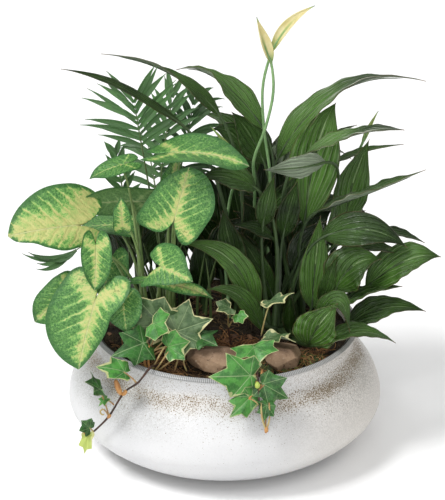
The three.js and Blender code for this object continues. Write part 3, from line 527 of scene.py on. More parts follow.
def joined(name, parts):
    chosen(parts[0])
    for part in parts:
        part.select_set(True)
    if len(parts) > 1:
        bpy.ops.object.join()
    piece = bpy.context.object
    piece.name = name
    piece.data.name = name
    return piece


def given_thickness(piece, thickness, under=None):
    """Gives a sheet its thickness and, if it has one, the finish of its underside."""
    wall = piece.modifiers.new("wall", "SOLIDIFY")
    wall.thickness = thickness * MM
    wall.offset = 0
    wall.use_even_offset = False
    if under is not None:
        piece.data.materials.append(under)
        wall.material_offset = 1
    chosen(piece)
    bpy.ops.object.modifier_apply(modifier=wall.name)
    return piece


def finished(piece, node, angle=42):
    """The piece, smoothed, rides on the bowl's body and stands for its node."""
    chosen(piece)
    bpy.ops.object.shade_smooth_by_angle(angle=math.radians(angle))
    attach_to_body(piece, "root")
    if node:
        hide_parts(node)
    return piece


def blank_grid(name, columns, rows):
    """A flat square of faces, two units wide, from which every leaf or stem of a kind is bent."""
    nothing_selected()
    bpy.ops.mesh.primitive_grid_add(x_subdivisions=columns, y_subdivisions=rows, size=2)
    grid = bpy.context.object
    mesh = grid.data
    mesh.name = name
    mesh.uv_layers[0].name = "leaf"
    bpy.data.objects.remove(grid)
    return mesh


def corners_of(mesh):
    places = np.zeros(len(mesh.vertices) * 3)
    mesh.vertices.foreach_get("co", places)
    return places.reshape(-1, 3)


def piece_of(pattern, places, material, tone):
    """A copy of a mesh with its corners at these places and one tone all over."""
    mesh = pattern.copy()
    mesh.vertices.foreach_set("co", (np.asarray(places) * MM).ravel())
    tones = mesh.attributes.new("tone", "FLOAT", "POINT")
    tones.data.foreach_set("value", np.full(len(mesh.vertices), tone, np.float32))
    mesh.materials.clear()
    mesh.materials.append(material)
    piece = bpy.data.objects.new("part", mesh)
    bpy.context.scene.collection.objects.link(piece)
    return piece


def laid(sheet, place, look, tone=0.5):
    """A flat sheet bent by place(x, y), which takes each of its corners to its place."""
    x, y, _ = corners_of(SHEETS[sheet]).T
    return piece_of(SHEETS[sheet], place(x, y), LOOKS[look], tone)


def stem(sheet, points, radii, look, tone=0.5):
    """A round stem through points. Its radii are spread evenly along it, and its ends are closed."""
    path = curve_through(points)
    levels = np.unique(np.round(corners_of(SHEETS[sheet])[:, 1], 5))
    along = (levels + 1) / 2
    centres = path(along)
    headings = unit(np.gradient(centres, axis=0))
    sides = [unit(np.cross(headings[0], [0.3, 0.9, 0.1]))]
    for heading in headings[1:]:
        sides.append(unit(sides[-1] - heading * np.dot(sides[-1], heading)))
    sides = np.array(sides)
    fronts = np.cross(sides, headings)
    widths = np.interp(along, np.linspace(0, 1, len(radii)), radii)
    widths[0] = widths[-1] = 0

    def place(x, y):
        row = np.searchsorted(levels, np.round(y, 5))
        turn = math.pi * x[:, None]
        ring = np.cos(turn) * sides[row] + np.sin(turn) * fronts[row]
        return centres[row] + ring * widths[row][:, None]

    return laid(sheet, place, look, tone)


def lance_half(t):
    share = np.clip(t, 0, 1)
    return (share / FULLEST) ** BASE_POWER * ((1 - share) / (1 - FULLEST)) ** TIP_POWER


def blade(sheet, row, look, seed, tone=0.5, fold=LILY_FOLD, wave=LILY_WAVE, roll=0.0):
    """A lance-shaped blade along its midrib's arc, with waved edges and low ridges between its veins."""
    base, middle, tip, width, face = row[:5]
    tip_face = np.array(row[-1], float)
    face = np.array(face, float)
    point, heading = arc(base, middle, tip)

    def place(x, y):
        t = (y + 1) / 2
        along = heading(np.maximum(t, 0.001))
        share = t[:, None]
        aside = unit(np.cross(along, face * (1 - share) + tip_face * share))
        normal = np.cross(aside, along)
        half = np.maximum(width / 2 * lance_half(t), 1.1 * (1 - t) ** 6 + 0.15)
        out = np.abs(x)
        edge_seed = np.where(x < 0, seeded(seed - 1), seeded(seed + 1))
        slow = wave * np.sin(2 * math.pi * (WAVES_ALONG * t + edge_seed))
        fast = LILY_RIPPLE * np.sin(2 * math.pi * (6.5 * t + 3 * edge_seed)) * out ** 2
        ridges = LILY_RIDGES * np.cos(2 * math.pi * (RIDGES_ACROSS * out - 1.5 * t)) * np.sin(math.pi * t)
        sideways, lift = x, fold * out + slow * out ** 1.4 + fast + ridges
        if roll:
            sideways, lift = np.sin(roll * x) / roll, (1 - np.cos(roll * x)) / roll
        return point(t) + aside * (sideways * half)[:, None] + normal * (lift * half)[:, None]

    return laid(sheet, place, look, tone)


def smooth_reach(edge, degrees):
    """A leaf outline's distance at any angle from its tip, eased between the angles that are given."""
    angles, reaches = np.array(edge, float).T
    i = np.clip(np.searchsorted(angles, degrees, side="right") - 1, 0, len(angles) - 2)
    step = angles[i + 1] - angles[i]
    h = (degrees - angles[i]) / step
    slopes = np.gradient(reaches, angles)
    slopes[0] = (reaches[1] - reaches[0]) / (angles[1] - angles[0])
    return (
        reaches[i] * (2 * h ** 3 - 3 * h ** 2 + 1) + slopes[i] * step * (h ** 3 - 2 * h ** 2 + h)
        + reaches[i + 1] * (3 * h ** 2 - 2 * h ** 3) + slopes[i + 1] * step * (h ** 3 - h ** 2))


def pointed_reach(edge, degrees):
    """The same for a leaf of straight-sided lobes."""
    angles, reaches = np.array(edge, float).T
    angles, turn = np.radians(angles), np.radians(degrees)
    i = np.clip(np.searchsorted(angles, turn, side="right") - 1, 0, len(angles) - 2)
    near, far = reaches[i], reaches[i + 1]
    share = near * np.sin(turn - angles[i]) + far * np.sin(angles[i + 1] - turn)
    return near * far * np.sin(angles[i + 1] - angles[i]) / share


def uneven(edge, seed, amount):
    """A leaf outline whose lobes are each a little longer or shorter than the pattern's."""
    inner = [[a, r * (1 + amount * (seeded(seed + 0.7 * a) - 0.5))] for a, r in edge[1:-1]]
    return [edge[0], *inner, edge[-1]]


def fan(sheet, leaf, form, reach_of, look, seed, own=None):
    """A leaf spread out from its petiole's end: polar outline, arched along it, folded at the midrib.

    A leaf that isn't alike on both sides brings its own outlines, one for each side.
    """
    attach, tip, width, face, tone = leaf
    edge, wave = form["edge"], form["wave"]
    centre = np.array(attach, float)
    along = np.array(tip, float) - centre
    length = np.linalg.norm(along)
    along = along / length
    aside = unit(np.cross(along, np.array(face, float)))
    normal = np.cross(aside, along)
    widest = max(r * math.sin(math.radians(a)) for a, r in edge)
    left, right = own or (uneven(edge, seed, form["uneven"]), uneven(edge, seed + 0.3, form["uneven"]))
    stretch = 1.0 if own else width / (2 * widest * length)

    def spread(x, y):
        ring = (y + 1) / 2
        degrees, reach = np.zeros(len(x)), np.zeros(len(x))
        for side, outline in ((x < 0, left), (x >= 0, right)):
            angles = [a for a, _ in outline]
            degrees[side] = np.interp(np.abs(x[side]), np.linspace(0, 1, len(angles)), angles)
            reach[side] = reach_of(outline, degrees[side])
        turn = np.radians(degrees) * np.sign(x)
        return ring * reach * np.cos(turn), ring * reach * np.sin(turn) * stretch, ring

    def place(x, y):
        u, v, ring = spread(x, y)
        ripple = wave * ring ** 2 * np.sin(5 * math.pi * x + 6.28 * seeded(seed))
        ripple += 1.4 * wave * ring ** 3 * np.sin(2.2 * math.pi * x + 6.28 * seeded(seed + 5))
        quilt = form["quilt"] * np.abs(np.sin(math.pi * (5 * u - 4 * np.abs(v)))) * (1 - ring ** 4)
        lift = form["bow"] * (u - u * u) + form["fold"] * np.abs(v) + ripple + quilt * (ring > 0)
        flat = centre + along * (u * length)[:, None] + aside * (v * length)[:, None]
        return flat + normal * (lift * length)[:, None]

    piece = laid(sheet, place, look, tone)
    mesh = piece.data
    corners = np.zeros(len(mesh.loops), int)
    mesh.loops.foreach_get("vertex_index", corners)
    x, y, _ = corners_of(SHEETS[sheet]).T
    places = np.array(spread(x, y)[:2]).T[corners]
    mesh.uv_layers.new(name="spread").data.foreach_set("uv", places.astype(np.float32).ravel())
    return piece


def under_leaf(attach, tip):
    return np.array(attach, float) * 0.94 + np.array(tip, float) * 0.06


def roots_on(at, radius, leaves):
    """The roots of a crown's leaf stalks, in the order in which their leaves stand round it."""
    headings = [math.atan2(leaf[0][1] - at[1], leaf[0][0] - at[0]) for leaf in leaves]
    order = sorted(range(len(headings)), key=lambda i: headings[i])
    roots = []
    for i in range(len(headings)):
        rank = order.index(i)
        angle = headings[order[0]] + 2 * math.pi * rank / len(order)
        out = radius * (0.75 if rank % 2 else 0.4)
        roots.append([at[0] + out * math.cos(angle), at[1] + out * math.sin(angle), CROWN_TOP - ROOT_SUNK])
    return roots


def stalk_path(root, control, end, count):
    """A leaf stalk's way from under the soil over its root on the crown to its leaf."""
    return [[root[0], root[1], STALK_BOTTOM], *bowed(root, control, end, count)]


def plant(name, node, kind, leaves, stalks, thickness=LEAF_THICKNESS):
    """One piece of the leaves, which get their thickness here, and the stalks that carry them."""
    leaves = given_thickness(leaves, thickness, LOOKS.get(kind + "_under"))
    stalks = merged(joined("stalks", stalks))
    return finished(joined(name, [leaves, stalks]), node)


def node_for(operation, swapped=False):
    """A method that makes the math node for an operator between a value and another."""
    def method(self, *others):
        terms = (*others, self) if swapped else (self, *others)
        return self.paint.math(operation, *terms)

    return method


class Value:
    """A node's output, so that a sum of outputs is written as a sum."""

    def __init__(self, paint, socket):
        self.paint, self.socket = paint, socket

    __add__ = node_for("ADD")
    __sub__ = node_for("SUBTRACT")
    __rsub__ = node_for("SUBTRACT", swapped=True)
    __mul__ = node_for("MULTIPLY")
    __truediv__ = node_for("DIVIDE")
    __pow__ = node_for("POWER")
    __abs__ = node_for("ABSOLUTE")


class Paint:
    """A material whose nodes are made as its sums are written."""

    def __init__(self, name):
        self.material = bpy.data.materials.new(name)
        self.material.use_nodes = True
        self.tree = self.material.node_tree
        self.shader = self.tree.nodes["Principled BSDF"]
        self.where = self.made("ShaderNodeTexCoord", output="Object")

    def feed(self, socket, value):
        if isinstance(value, Value):
            self.tree.links.new(value.socket, socket)
        else:
            socket.default_value = (*value, 1) if isinstance(value, tuple) else value

    def made(self, kind, inputs=(), output=0, **settings):
        """One output of a new node, once the node has its settings and its inputs."""
        node = self.tree.nodes.new(kind)
        for key, value in settings.items():
            setattr(node, key, value)
        for key, value in dict(inputs).items():
            self.feed(node.inputs[key], value)
        return Value(self, node.outputs[output])

    def math(self, operation, *terms):
        return self.made("ShaderNodeMath", enumerate(terms), operation=operation)

    def most(self, a, b):
        return self.math("MAXIMUM", a, b)

    def sine(self, value, turns=1):
        return self.math("SINE", value * (2 * math.pi * turns)) * 0.5 + 0.5

    def ease(self, value, low, high, start=0, end=1):
        steps = enumerate((value, low, high, start, end))
        return self.made("ShaderNodeMapRange", steps, interpolation_type="SMOOTHSTEP")

    def fade(self, value, low, high):
        return self.ease(value, low, high, 1, 0)

    def mix(self, share, a, b):
        return self.made("ShaderNodeMix", {"Factor": share, 6: a, 7: b}, 2, data_type="RGBA")

    def over(self, colour, *layers):
        """A colour with others laid over it, each by its own share."""
        for share, layer in layers:
            colour = self.mix(share, colour, layer)
        return colour

    def vector(self, *parts):
        return self.made("ShaderNodeCombineXYZ", enumerate(parts))

    def parts_of(self, vector):
        first = self.made("ShaderNodeSeparateXYZ", {0: vector})
        return [Value(self, socket) for socket in first.socket.node.outputs]

    def uv(self, name):
        return self.parts_of(self.made("ShaderNodeUVMap", uv_map=name))[:2]

    def tone(self):
        return self.made("ShaderNodeAttribute", output="Fac", attribute_name="tone")

    def noise(self, scale, detail=2, roughness=0.5, at=None):
        inputs = {"Vector": at or self.where, "Scale": scale, "Detail": detail, "Roughness": roughness}
        return self.made("ShaderNodeTexNoise", inputs, "Fac")

    def patches(self, low, high, *settings):
        return self.ease(self.noise(*settings), low, high)

    def cells(self, scale, feature="DISTANCE_TO_EDGE"):
        inputs = {"Vector": self.where, "Scale": scale}
        return self.made("ShaderNodeTexVoronoi", inputs, "Distance", feature=feature)

    def done(self, colour, roughness, height, relief, strength, shine=0.5, coat=0):
        """The finished material. Its height map stands up by relief, in millimetres."""
        bump = {"Height": height, "Distance": relief * MM, "Strength": strength}
        finish = {
            "Base Color": colour, "Roughness": roughness, "Normal": self.made("ShaderNodeBump", bump),
            "Specular IOR Level": shine, "Coat Weight": coat}
        for name, value in finish.items():
            self.feed(self.shader.inputs[name], value)
        return self.material


def glaze():
    """Off-white glaze: grey crackle and painted shade on the left shoulder, brown specks at the neck, tan to
    the right.
    """
    p = Paint("speckled_glaze")
    x, y, z = p.parts_of(p.where)
    level = z + (p.noise(22, 3) - 0.5) * 0.016
    band = p.fade(abs(level - 0.087), 0.001, 0.011)
    lip = p.ease(z, 0.1075, 0.1105)
    # Painted contact shadow: the lowest 12 mm of the bowl are painted near-black, on a matte foot.
    foot = p.fade(z, 0.009, 0.0125)
    shoulder = p.ease(level, 0.046, 0.09) * (1 - lip)
    rightward = p.ease(x, 0.02, 0.14)
    leftward = p.fade(x, -0.12, -0.02)
    patch = p.patches(0.36, 0.66, 42, 3, 0.6)
    density = band * (patch * 0.07 + rightward * 0.04 + 0.05)
    density = density + shoulder * rightward * 0.06 - (1 - shoulder) * 0.1
    speck = p.ease(p.noise(1000, 1.5, 0.6) + density, 0.62, 0.65)
    dots = p.patches(0.52, 0.58, 680, 1.5, 0.6)
    crackle = p.fade(p.cells(420), 0, 0.11)
    grey_share = shoulder * (leftward * 0.8 + rightward * 0.42 + 0.08)
    worn = p.most(crackle, dots) * (grey_share + rightward * 0.2 + 0.04)
    ticks = p.ease(p.sine(p.math("ARCTAN2", y, x), LIP_TICKS / (2 * math.pi)), 0.45, 0.6)
    inner_edge = p.fade((x * x + y * y) ** 0.5, 0.1166, 0.1176)
    colour = p.over(
        p.mix(p.patches(0.35, 0.7, 14, 3), (0.63, 0.63, 0.635), (0.59, 0.592, 0.6)),
        # painted shade: the left shoulder is greyed as if it lay in shade
        (shoulder * leftward * 0.9, (0.4, 0.41, 0.4)),
        (rightward * 0.6, (0.67, 0.615, 0.53)),
        (band * (patch * 0.14 + 0.14), (0.45, 0.37, 0.25)),
        (worn, (0.27, 0.265, 0.25)),
        (speck * 0.9, (0.15, 0.1, 0.038)),
        (lip * (ticks * 0.4 + 0.55), (0.15, 0.155, 0.15)),
        (lip * inner_edge, (0.12, 0.12, 0.115)),
        # painted contact shadow along the bottom edge
        (foot, (0.035, 0.033, 0.03)))
    rough = p.noise(260, 2) * 0.2 + foot * 0.4 + 0.34
    height = p.noise(420, 3, 0.6) * 0.7 - crackle * 0.4
    return p.done(colour, rough, height, 0.3, 0.5, shine=0.4, coat=0.06)


def lily_leaf(name, upper):
    """Deep green with long veins that leave the midrib and sweep to the tip; grey-green underneath.

    Its tone paints how lit or shaded the leaf is; over a tone of 1.1 the outer half has a painted reflection
    of the sky, as on a leaf that faces it, with painted glints.
    """
    p = Paint(name)
    across, along = p.uv("leaf")
    out = abs(across * 2 - 1)
    tone = p.tone()
    sweep = out * 6 - along * 4 + p.noise(26, 2) * 0.9
    veins = p.sine(sweep) ** 4
    fine = p.sine(sweep, 4)
    painted_glints = p.sine(sweep, 0.6) ** 5
    midrib = p.fade(out, 0.015, 0.07)
    edge = p.ease(out, 0.93, 1)
    if upper:
        dark, light, pale = (0.009, 0.024, 0.003), (0.084, 0.21, 0.026), (0.3, 0.42, 0.2)
    else:
        dark, light, pale = (0.13, 0.18, 0.1), (0.28, 0.35, 0.24), (0.48, 0.53, 0.42)
    # Painted light and shade: the leaf's tone sets how lit it is painted, over random patches, and its edges
    # are painted darker than its centre as a sheen.
    lit = p.patches(0.3, 0.7, 34, 3, 0.6) * 0.42 + tone * 0.74 - out * 0.2
    # Painted reflection of the sky on the outer half of leaves over tone 1.1: darkened, then streaked with
    # pale painted glints.
    painted_sky_reflection = p.ease(tone, 1.1, 1.25) * p.ease(along, 0.3, 0.62)
    # Pale pleat lines, painted stronger on lit leaves: the veins' own paler colour, partly painted
    # highlight.
    pleats = veins * (tone * 0.48 + 0.04)
    colour = p.over(
        p.mix(lit, dark, light),
        (painted_sky_reflection * 0.9, (0.028, 0.05, 0.02)),
        (pleats * (painted_sky_reflection * -0.85 + 1), pale),
        (fine * 0.45, dark),
        (painted_sky_reflection * painted_glints * 0.85, (0.62, 0.67, 0.56)),
        (midrib * (tone * 0.5 + 0.2), pale),
        (edge * 0.65, (0.075, 0.05, 0.02) if upper else pale),
        (p.ease(along + out * 0.02, 0.965, 1) * 0.85, (0.14, 0.08, 0.035)))
    height = veins * 0.9 + fine * 0.16 + midrib * (-0.9 if upper else 1.3)
    rough = p.noise(120, 2) * 0.16 + (0.24 if upper else 0.46)
    return p.done(colour, rough, height, 1, 1, shine=0.42)


def arrowhead_leaf(name, upper):
    """Cream that bleeds out along the midrib, lobe veins and side veins into mottled green.

    The tone says how much of the leaf is cream.
    """
    p = Paint(name)
    u, v = p.uv("spread")
    ring = p.uv("leaf")[1]
    tone = p.tone()
    out = abs(v)
    warp = (p.noise(62, 4, 0.7) - 0.5) * 0.2
    rows = u * 5.6 - out * 4.4 + warp * 5
    veins = p.sine(rows) ** 6
    twigs = p.fade(p.cells(330), 0.02, 0.12)
    to_midrib = out + p.most(u * -1, 0)
    to_lobe = abs(u + out * 0.9) * 0.74
    nearest = p.math("MINIMUM", to_midrib, to_lobe) + warp * 0.5
    close = p.fade(nearest / (tone * 0.34 + 0.01), -0.1, 1.45)
    reach = p.fade(ring - tone, -0.05, 0.8)
    length = u * 4.6 + out * 6.5
    streak = p.noise(1, 5, 0.85, at=p.vector(rows * 3, length * 0.9, tone * 37))
    mottle = p.noise(430, 4, 0.75)
    rim = p.ease(ring + warp * 0.6, 0.86, 0.98)
    field = close * (tone * 0.35 + 0.75) + veins * reach * 0.62 + (streak - 0.54) * 2
    field = field + (mottle - 0.5) * 2 + twigs * 0.12 - rim * 0.8
    cream = p.ease(field, 0.32, 0.98)
    lime = p.ease(field, -0.1, 0.6)
    fleck = p.patches(0.49, 0.6, 620, 3, 0.7) * (0.5 - rim * 0.25)
    mossy = p.patches(0.46, 0.62, 170, 4, 0.75) * 0.38
    blotch = p.noise(1, 4, 0.75, at=p.vector(rows * 2.1, length * 1.5, tone * 19))
    blotch = p.ease(blotch, 0.55, 0.66) * p.ease(ring, 0.3, 0.62)
    rib = p.fade(out, 0.004, 0.016)
    if upper:
        green, fresh, butter = (0.028, 0.125, 0.022), (0.165, 0.375, 0.08), (0.465, 0.465, 0.168)
    else:
        green, fresh, butter = (0.07, 0.16, 0.045), (0.13, 0.25, 0.08), (0.24, 0.34, 0.13)
    colour = p.over(
        p.mix(p.most(lime, fleck), green, fresh),
        (twigs * 0.16, (0.3, 0.48, 0.16)),
        (rim * 0.6, (0.022, 0.1, 0.02)),
        (cream, p.mix(mossy, butter, fresh)),
        (blotch * 0.62, (0.022, 0.1, 0.018) if upper else green),
        (rib * 0.35, (0.5, 0.52, 0.3)))
    height = mottle * 0.8 - veins * 0.6 - rib * 0.8
    return p.done(colour, mottle * 0.2 + 0.36, height, 0.8, 0.7, shine=0.35)


def ivy_leaf(name, upper):
    """Grey-green at low tones, deep green in between, fresh at high ones, yellow-green over one."""
    p = Paint(name)
    u, v = p.uv("spread")
    ring = p.uv("leaf")[1]
    tone = p.tone()
    out = abs(v)
    veins = p.fade(out, 0.004, 0.02)
    for turn in np.radians(IVY_VEINS):
        cos, sin = float(np.cos(turn)), float(np.sin(turn))
        aside = p.fade(abs(u * sin - out * cos), 0.003, 0.016)
        veins = p.most(veins, aside * p.ease(u * cos + out * sin, 0, 0.02))
    twigs = p.fade(p.cells(210), 0, 0.07)
    inward = (1 - ring) * (u * u + v * v) ** 0.5 / p.most(ring, 0.05)
    broad = p.patches(0.47, 0.66, 62, 2, 0.6) * 0.085 + 0.012
    wander = (p.noise(260, 4, 0.7) - 0.5) * 0.06
    pale_edge = p.most(p.fade(tone, 0.2, 0.38), p.ease(tone, 0.6, 0.75, 0, 0.75))
    cream = p.fade(inward + wander - broad, 0, 0.012) * pale_edge
    patch = p.patches(0.42, 0.6, 120, 3, 0.6)
    if upper:
        grey, patchy = (0.05, 0.1, 0.035), (0.12, 0.185, 0.085)
        deep, dark = (0.03, 0.12, 0.022), (0.016, 0.06, 0.012)
        fresh, lively, edge = (0.075, 0.27, 0.045), (0.035, 0.15, 0.026), (0.55, 0.53, 0.27)
    else:
        grey, patchy = (0.13, 0.19, 0.12), (0.2, 0.25, 0.17)
        deep, dark = (0.1, 0.2, 0.07), (0.07, 0.14, 0.05)
        fresh, lively, edge = (0.16, 0.3, 0.11), (0.11, 0.22, 0.07), (0.5, 0.47, 0.3)
    colour = p.over(
        p.mix(patch, grey, patchy),
        (p.ease(tone, 0.22, 0.36), p.mix(patch, deep, dark)),
        (p.ease(tone, 0.42, 0.8), p.mix(patch, fresh, lively)),
        (twigs * 0.16, (0.24, 0.38, 0.15)),
        (veins * 0.6, (0.3, 0.4, 0.2)),
        (p.ease(tone, 1, 1.2), (0.4, 0.48, 0.12)),
        (cream, edge))
    height = p.noise(260, 2) * 0.4 - veins - twigs * 0.3
    return p.done(colour, patch * 0.15 + 0.38, height, 0.5, 0.7, shine=0.35)


def palm_leaf():
    """Green with fine lines along the leaflet and a paler midrib, dry at the tip."""
    p = Paint("palm_leaflet")
    across, along = p.uv("leaf")
    lines = p.sine(across, 9)
    colour = p.over(
        p.mix(p.tone(), (0.02, 0.06, 0.018), (0.085, 0.21, 0.06)),
        (lines * 0.2, (0.15, 0.26, 0.12)),
        (p.fade(abs(across * 2 - 1), 0.03, 0.12) * 0.4, (0.16, 0.28, 0.1)),
        (p.patches(0.4, 0.7, 90, 2) * 0.35, (0.07, 0.1, 0.06)),
        (p.ease(along, 0.94, 1) * 0.75, (0.12, 0.1, 0.06)))
    return p.done(colour, lines * 0.1 + 0.36, lines, 0.12, 0.5, shine=0.4)


def spathe():
    """Cream-yellow, greener at its base, midrib and hooked tip, with fine lengthwise veins.

    At a low tone, as in a bud, it is green all over.
    """
    p = Paint("spathe")
    across, along = p.uv("leaf")
    out = abs(across * 2 - 1)
    lines = p.sine(out * 6 - along * 2)
    green = p.fade(out, 0.05, 0.3) * p.fade(along, 0.3, 0.75)
    for part in (p.fade(along, 0.03, 0.28), p.ease(along, 0.84, 0.97), p.fade(p.tone(), 0.2, 0.5)):
        green = p.most(green, part)
    colour = p.over(
        p.mix(p.patches(0.35, 0.7, 110, 3), (0.61, 0.53, 0.24), (0.68, 0.62, 0.36)),
        (lines * 0.22, (0.52, 0.46, 0.17)),
        (green * (p.noise(160, 2) * 0.5 + 0.6), (0.17, 0.3, 0.06)),
        (p.ease(along, 0.93, 1), (0.05, 0.12, 0.03)))
    return p.done(colour, 0.48, lines, 0.2, 0.5)


def stalk(name, low, high, roughness=0.42):
    """A stem's skin: two colours that run into each other in streaks along it."""
    p = Paint(name)
    x, y, z = p.parts_of(p.where)
    streaks = p.noise(720, 2, at=p.vector(x, y, z * 0.12))
    patches = p.noise(90, 3, 0.6)
    share = p.ease(streaks * 0.5 + patches * 0.5, 0.36, 0.64)
    colour = p.mix(p.tone() * 0.4 + share * 0.6, low, high)
    return p.done(colour, patches * 0.2 + roughness, streaks, 0.2, 0.5)


def potting_soil():
    """Near black where it is damp, with brown and a few light crumbs."""
    p = Paint("potting_soil")
    damp = p.patches(0.35, 0.65, 40, 4, 0.7)
    colour = p.over(
        p.mix(damp, (0.009, 0.0065, 0.0045), (0.035, 0.024, 0.012)),
        (p.patches(0.56, 0.7, 700, 2, 0.7), (0.11, 0.075, 0.035)))
    height = p.cells(520, "F1") + p.noise(900, 3, 0.7) * 0.8
    return p.done(colour, damp * 0.15 + 0.72, height, 1.2, 0.9, shine=0.25)


def worn_stone():
    """Warm brown stone, darker on top, with pits and a few pale grains."""
    p = Paint("worn_stone")
    z = p.parts_of(p.where)[2]
    cloud = p.patches(0.3, 0.7, 60, 4, 0.65)
    grain = p.noise(640, 3, 0.7)
    colour = p.over(
        p.mix(cloud, (0.2, 0.125, 0.072), (0.37, 0.25, 0.158)),
        (p.ease(grain, 0.6, 0.72), (0.55, 0.43, 0.33)),
        (p.patches(0.6, 0.72, 300, 3, 0.7), (0.1, 0.06, 0.04)),
        (p.ease(z, 0.112, 0.122) * 0.6, (0.13, 0.08, 0.055)))
    return p.done(colour, cloud * 0.12 + 0.7, p.noise(130, 5, 0.7) * 1.2 + grain * 0.5, 1, 0.8, shine=0.3)


def fibre(name, dull, bright):
    """Bark, moss or roots: between two colours, one fibre or chip unlike the next."""
    p = Paint(name)
    share = p.noise(60, 2) * 0.5 + p.tone() * 0.5
    return p.done(p.mix(p.ease(share, 0.25, 0.75), dull, bright), 0.8, p.noise(900, 2), 0.2, 0.6)


def pale_floor():
    """A white floor that glows a little, so that it is as bright as the photograph's."""
    p = Paint("pale_floor")
    grain = p.noise(30, 3)
    p.feed(p.shader.inputs["Emission Color"], (1, 1, 1))
    p.feed(p.shader.inputs["Emission Strength"], FLOOR_GLOW)
    return p.done(p.mix(grain, (0.9, 0.9, 0.9), (0.92, 0.92, 0.92)), 0.9, grain, 0.02, 0.1)


def turned_bowl():
    """The bowl, drawn up ring by ring from its foot, over the lip and down inside."""
    levels = np.linspace(0, 1, PROFILE_ROWS)
    outside, inside = curve_through(BOWL_OUTSIDE, 0)(levels), curve_through(BOWL_INSIDE, 0)(levels)
    (foot, _), (r0, z0), (r1, z1) = outside[0], outside[-1], inside[0]
    rings = [(foot - FOOT_ROUND, 0.0), (foot, 0.8), *outside[1:-1], (r0, z0 - LIP_ROUND)]
    for s in LIP_STEPS:
        rings.append((r0 * (1 - s) + r1 * s, z1 - LIP_ROUND * (1 - math.sin(math.pi * s))))
    rings += [(r1, z1 - LIP_ROUND), *inside[1:]]
    nothing_selected()
    radius, level = rings[0]
    bpy.ops.mesh.primitive_circle_add(vertices=BOWL_SIDES, radius=radius * MM, fill_type="NGON")
    piece = bpy.context.object
    piece.name = "glazed_bowl"
    bpy.ops.object.mode_set(mode="EDIT")
    bpy.ops.mesh.select_all(action="SELECT")
    for next_radius, next_level in rings[1:]:
        rise = (next_level - level) * MM
        ratio = next_radius / radius
        bpy.ops.mesh.extrude_region_move(TRANSFORM_OT_translate={"value": (0, 0, rise)})
        bpy.ops.transform.resize(value=(ratio, ratio, 1), center_override=(0, 0, next_level * MM))
        radius, level = next_radius, next_level
    turned_outward(piece)
    piece.data.materials.append(glaze())
    return finished(piece, "bowl", 30)


def soil_height(x, y):
    """How far the soil stands above or below its level at a place, with its lumps and crumbs."""
    place = Vector((x * SOIL_SCALE, y * SOIL_SCALE, 0.3))
    swell = noise.turbulence(place, 4, False) - 0.45
    return SOIL_LUMPS * swell + SOIL_CRUMBS * noise.noise(place * 9)


def soil_filling():
    """The soil: a crumbly top, its wall just inside the bowl and a flat underside."""
    wall = curve_through(BOWL_INSIDE, 0)(np.linspace(0, 1, 60))
    top = float(np.interp(SOIL_TOP, wall[::-1, 1], wall[::-1, 0])) - SOIL_GAP

    def place(x, y):
        share = (y + 1) / 2
        radius = np.where(share < TOP_ENDS, top * (share / TOP_ENDS) ** 0.8, top)
        radius = np.where(share > UNDERSIDE_STARTS, top * (1 - share) / (1 - UNDERSIDE_STARTS), radius)
        across, deep = radius * np.cos(math.pi * x), radius * np.sin(math.pi * x)
        heights = [soil_height(*spot) for spot in zip(across, deep)]
        level = SOIL_TOP + np.where(share < TOP_ENDS, heights, 0)
        return np.array([across, deep, np.where(share > WALL_DROPS, SOIL_TOP - SOIL_DEPTH, level)]).T

    piece = turned_outward(merged(laid("soil", place, "soil")))
    return finished(joined("soil_filling", [piece]), "soil", 60)


def loose_lumps(name, count, size, seed, flat, material):
    """Crumbs or chips that lie on the soil: one low shape, copied, each with its own turn and size."""
    nothing_selected()
    bpy.ops.mesh.primitive_ico_sphere_add(subdivisions=1, radius=1)
    pattern = bpy.context.object.data
    bpy.data.objects.remove(bpy.context.object)
    chance = random.Random(seed)
    corners = corners_of(pattern)
    parts = []
    for i in range(count):
        out, turn = SOIL_REACH * math.sqrt(chance.random()), chance.uniform(-math.pi, math.pi)
        x, y = out * math.sin(turn), -out * math.cos(turn)
        grain = np.array([1 + 0.45 * noise.noise(Vector(c) * 1.7 + Vector((i, 0, 0))) for c in corners])
        stretch = [chance.uniform(0.6, 1.5), chance.uniform(0.5, 1.0), flat * chance.uniform(0.6, 1.2)]
        shaped = corners * grain[:, None] * stretch * size * chance.uniform(0.6, 1.3)
        spin, lean = chance.uniform(0, math.pi), chance.uniform(-0.5, 0.5)
        cos, sin = math.cos(spin), math.sin(spin)
        turned = shaped @ np.array([[cos, -sin, 0], [sin, cos, 0], [0, 0, 1]])
        turned[:, 2] += lean * turned[:, 0]
        turned += [x, y, SOIL_TOP + soil_height(x, y) + 0.3 * size * flat]
        parts.append(piece_of(pattern, turned, material, chance.random()))
    return finished(joined(name, parts), None)


def tangle(row):
    """Loose fibres that curl over one patch of soil, each rooted in it."""
    name, centre, spread, height, count, length, radius, seed, colours = row
    LOOKS[name] = fibre(name + "_fibre", *colours)
    chance = random.Random(seed)
    parts = []
    for _ in range(count):
        out, turn = math.sqrt(chance.random()), chance.uniform(-math.pi, math.pi)
        x = centre[0] + out * spread[0] * math.cos(turn)
        y = centre[1] + out * spread[1] * math.sin(turn)
        if math.hypot(x, y) > SOIL_REACH + 1:
            continue
        heading = chance.uniform(-math.pi, math.pi)
        rise = chance.uniform(0.2, 1.0) * height * (1.1 - out)
        step = chance.uniform(0.5, 1.2) * length / 4
        points = []
        for k in range(5):
            lift = rise * math.sin(math.pi * (k / 4) ** 0.8)
            points.append([x, y, SOIL_TOP + soil_height(x, y) - 0.5 + lift])
            heading += chance.uniform(-1.1, 1.1)
            if math.hypot(x + step * math.cos(heading), y + step * math.sin(heading)) >= SOIL_REACH + 2:
                heading += math.pi
            x, y = x + step * math.cos(heading), y + step * math.sin(heading)
        parts.append(stem("hair", points, [radius, radius, radius / 2], name, chance.random()))
    return finished(merged(joined(name, parts)), None, 80)


